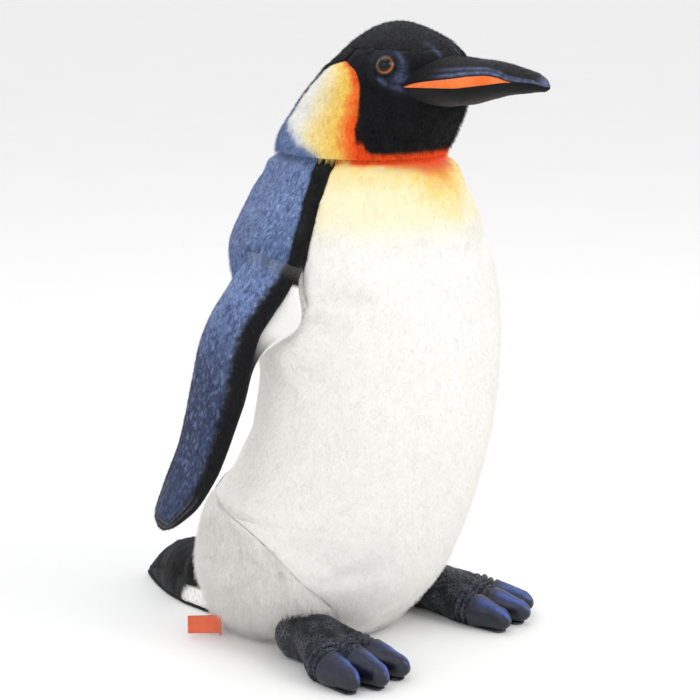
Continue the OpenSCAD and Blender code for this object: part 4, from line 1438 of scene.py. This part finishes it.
def sole(side):
    """Thin dark sole under the foot, with a rolled edge."""
    parts = []
    for i in range(3):
        tip, back, _ = toe_axis(i)
        for a, b, ra, rb in ((tip, back, TOE_R - 3, KNUCKLE_R - 3.5),
                             (back, INSTEP, KNUCKLE_R - 3.5, INSTEP_R - 8)):
            flat = capsule([a[0], a[1], 0], [b[0], b[1], 0], ra, rb)
            flat[..., 2] = 1.15 + flat[..., 2] * 0.1
            parts.append(flat)
    co, _, faces = melt(parts, 0.8, 3)
    co[:, 2] = np.clip(co[:, 2] + 0.12 * value_noise(co, 3, 161), 0.1, 2.2)
    tint = clouded(co, (34, 36, 44), (50, 52, 62), 9, 162)
    foot_piece(side, "sole", co, faces, tint, ["foot_sole"])


for s in (RIGHT, LEFT):
    foot(s)
    for i, node in enumerate(("inner_toe_cap", "middle_toe_cap", "outer_toe_cap")):
        cap(s, i, node)
    sole(s)


# ------------------------------------------------------------------ label
def label():
    """Blank folded ribbon, sewn in at the right hip."""
    low, high = (np.array(v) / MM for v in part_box("woven_label"))
    joint = next(j for j in frame["joints"] if j["name"] == "label_flap")
    pin = np.array(joint["pos_m"]) / MM
    turn = math.radians(129)
    out = np.array([math.cos(turn), math.sin(turn), 0])
    aside = np.array([-out[1], out[0], 0])
    length, half = 19.6, 0.42
    bend = np.linspace(0.3, math.pi - 0.3, 7)
    x = np.concatenate([np.linspace(0.8, length, 26), length + half * 1.4 * np.sin(bend),
                        np.linspace(length, 0.8, 26)])
    y = np.concatenate([np.full(26, half), half * np.cos(bend), np.full(26, -half)])
    wave = 0.35 * np.sin(x / length * math.pi * 1.2)
    z = np.linspace(low[2] + 0.4, high[2] - 0.4, 15)
    grid = (pin * [1, 1, 0] + out * x[:, None, None] + aside * (y + wave)[:, None, None]
            + np.array([0, 0, 1.0]) * z[None, :, None])
    grid[..., 2] += 0.25 * np.sin(x / 5.0)[:, None]
    t = mix3((236, 92, 52), (246, 124, 84), 0.5 + 0.5 * value_noise(grid, 5, 171))
    t[:, [0, -1]] = mix3(t[:, [0, -1]], (214, 70, 38), 0.6)
    skin_mm = grid_normals(grid) * 0.12
    obj = two_skins("ribbon", grid + skin_mm, grid - skin_mm, RIGHT, t)
    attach(obj, "label")
    dress(obj, cloth_material("label_ribbon", (242, 108, 66), rough=0.5, weave=900))
    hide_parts("woven_label")


label()

# ------------------------------------------------------------------ CAD nodes that stay visible
KEPT = {
    "label_thread": cloth_material("label_thread", (236, 120, 80), weave=700),
    "thread": cloth_material("thread_cloth", (38, 42, 56), weave=700),
    "pouch_cloth": cloth_material("pouch_cotton", (205, 203, 192), weave=500),
    "pellets": plain_material("pellet_plastic", (216, 216, 214), 0.5, 0.12, 900),
    "washer_plastic": plain_material("washer_nylon", (222, 222, 214), 0.45),
}
KEPT_NODES = {
    "collar_seam": "thread", "label_stitching": "label_thread", "pellet_fill": "pellets",
    "pellet_pouch_top": "pouch_cloth", "pellet_pouch_bottom": "pouch_cloth",
    "right_eye_washer": "washer_plastic", "left_eye_washer": "washer_plastic",
}
for name, kind in KEPT_NODES.items():
    obj = frame["nodes"][name]
    obj.data.materials.clear()
    obj.data.materials.append(KEPT[kind])

# ------------------------------------------------------------------ studio
floor_mat = plain_material("floor_paper", (252, 252, 252), 0.8, 0.005, 8)
bpy.ops.mesh.primitive_grid_add(x_subdivisions=8, y_subdivisions=8, size=60, location=(0, 0, 0))
floor = bpy.context.object
floor.name = "floor"
floor.data.materials.append(floor_mat)

world = bpy.data.worlds.new("studio")
SCENE.world = world
world.use_nodes = True
world.node_tree.nodes["Background"].inputs["Color"].default_value = (1, 1, 1, 1)
world.node_tree.nodes["Background"].inputs["Strength"].default_value = 0.88


def area_light(name, place, aim, size, power):
    data = bpy.data.lights.new(name, "AREA")
    data.shape, data.size, data.energy = "DISK", size, power
    obj = bpy.data.objects.new(name, data)
    SCENE.collection.objects.link(obj)
    obj.location = place
    direction = Vector(aim) - Vector(place)
    obj.rotation_euler = direction.to_track_quat("-Z", "Y").to_euler()


area_light("key", (0.35, -1.6, 1.25), (0, -0.03, 0.2), 1.0, 9)
area_light("fill", (-1.4, -0.3, 1.2), (0, 0, 0.2), 1.3, 3.5)
area_light("top", (0.1, 0.3, 1.7), (0, 0, 0.15), 1.2, 4)

cam_data = bpy.data.cameras.new("camera")
cam_data.sensor_width = 36
cam_data.lens = 112.17
cam = bpy.data.objects.new("camera", cam_data)
SCENE.collection.objects.link(cam)
cam.location = (-1.0103, -0.8286, 0.470)
cam.rotation_euler = Vector((0.7601, 0.6115, -0.2197)).to_track_quat("-Z", "Y").to_euler()
SCENE.camera = cam
SCENE.view_settings.view_transform = "Standard"
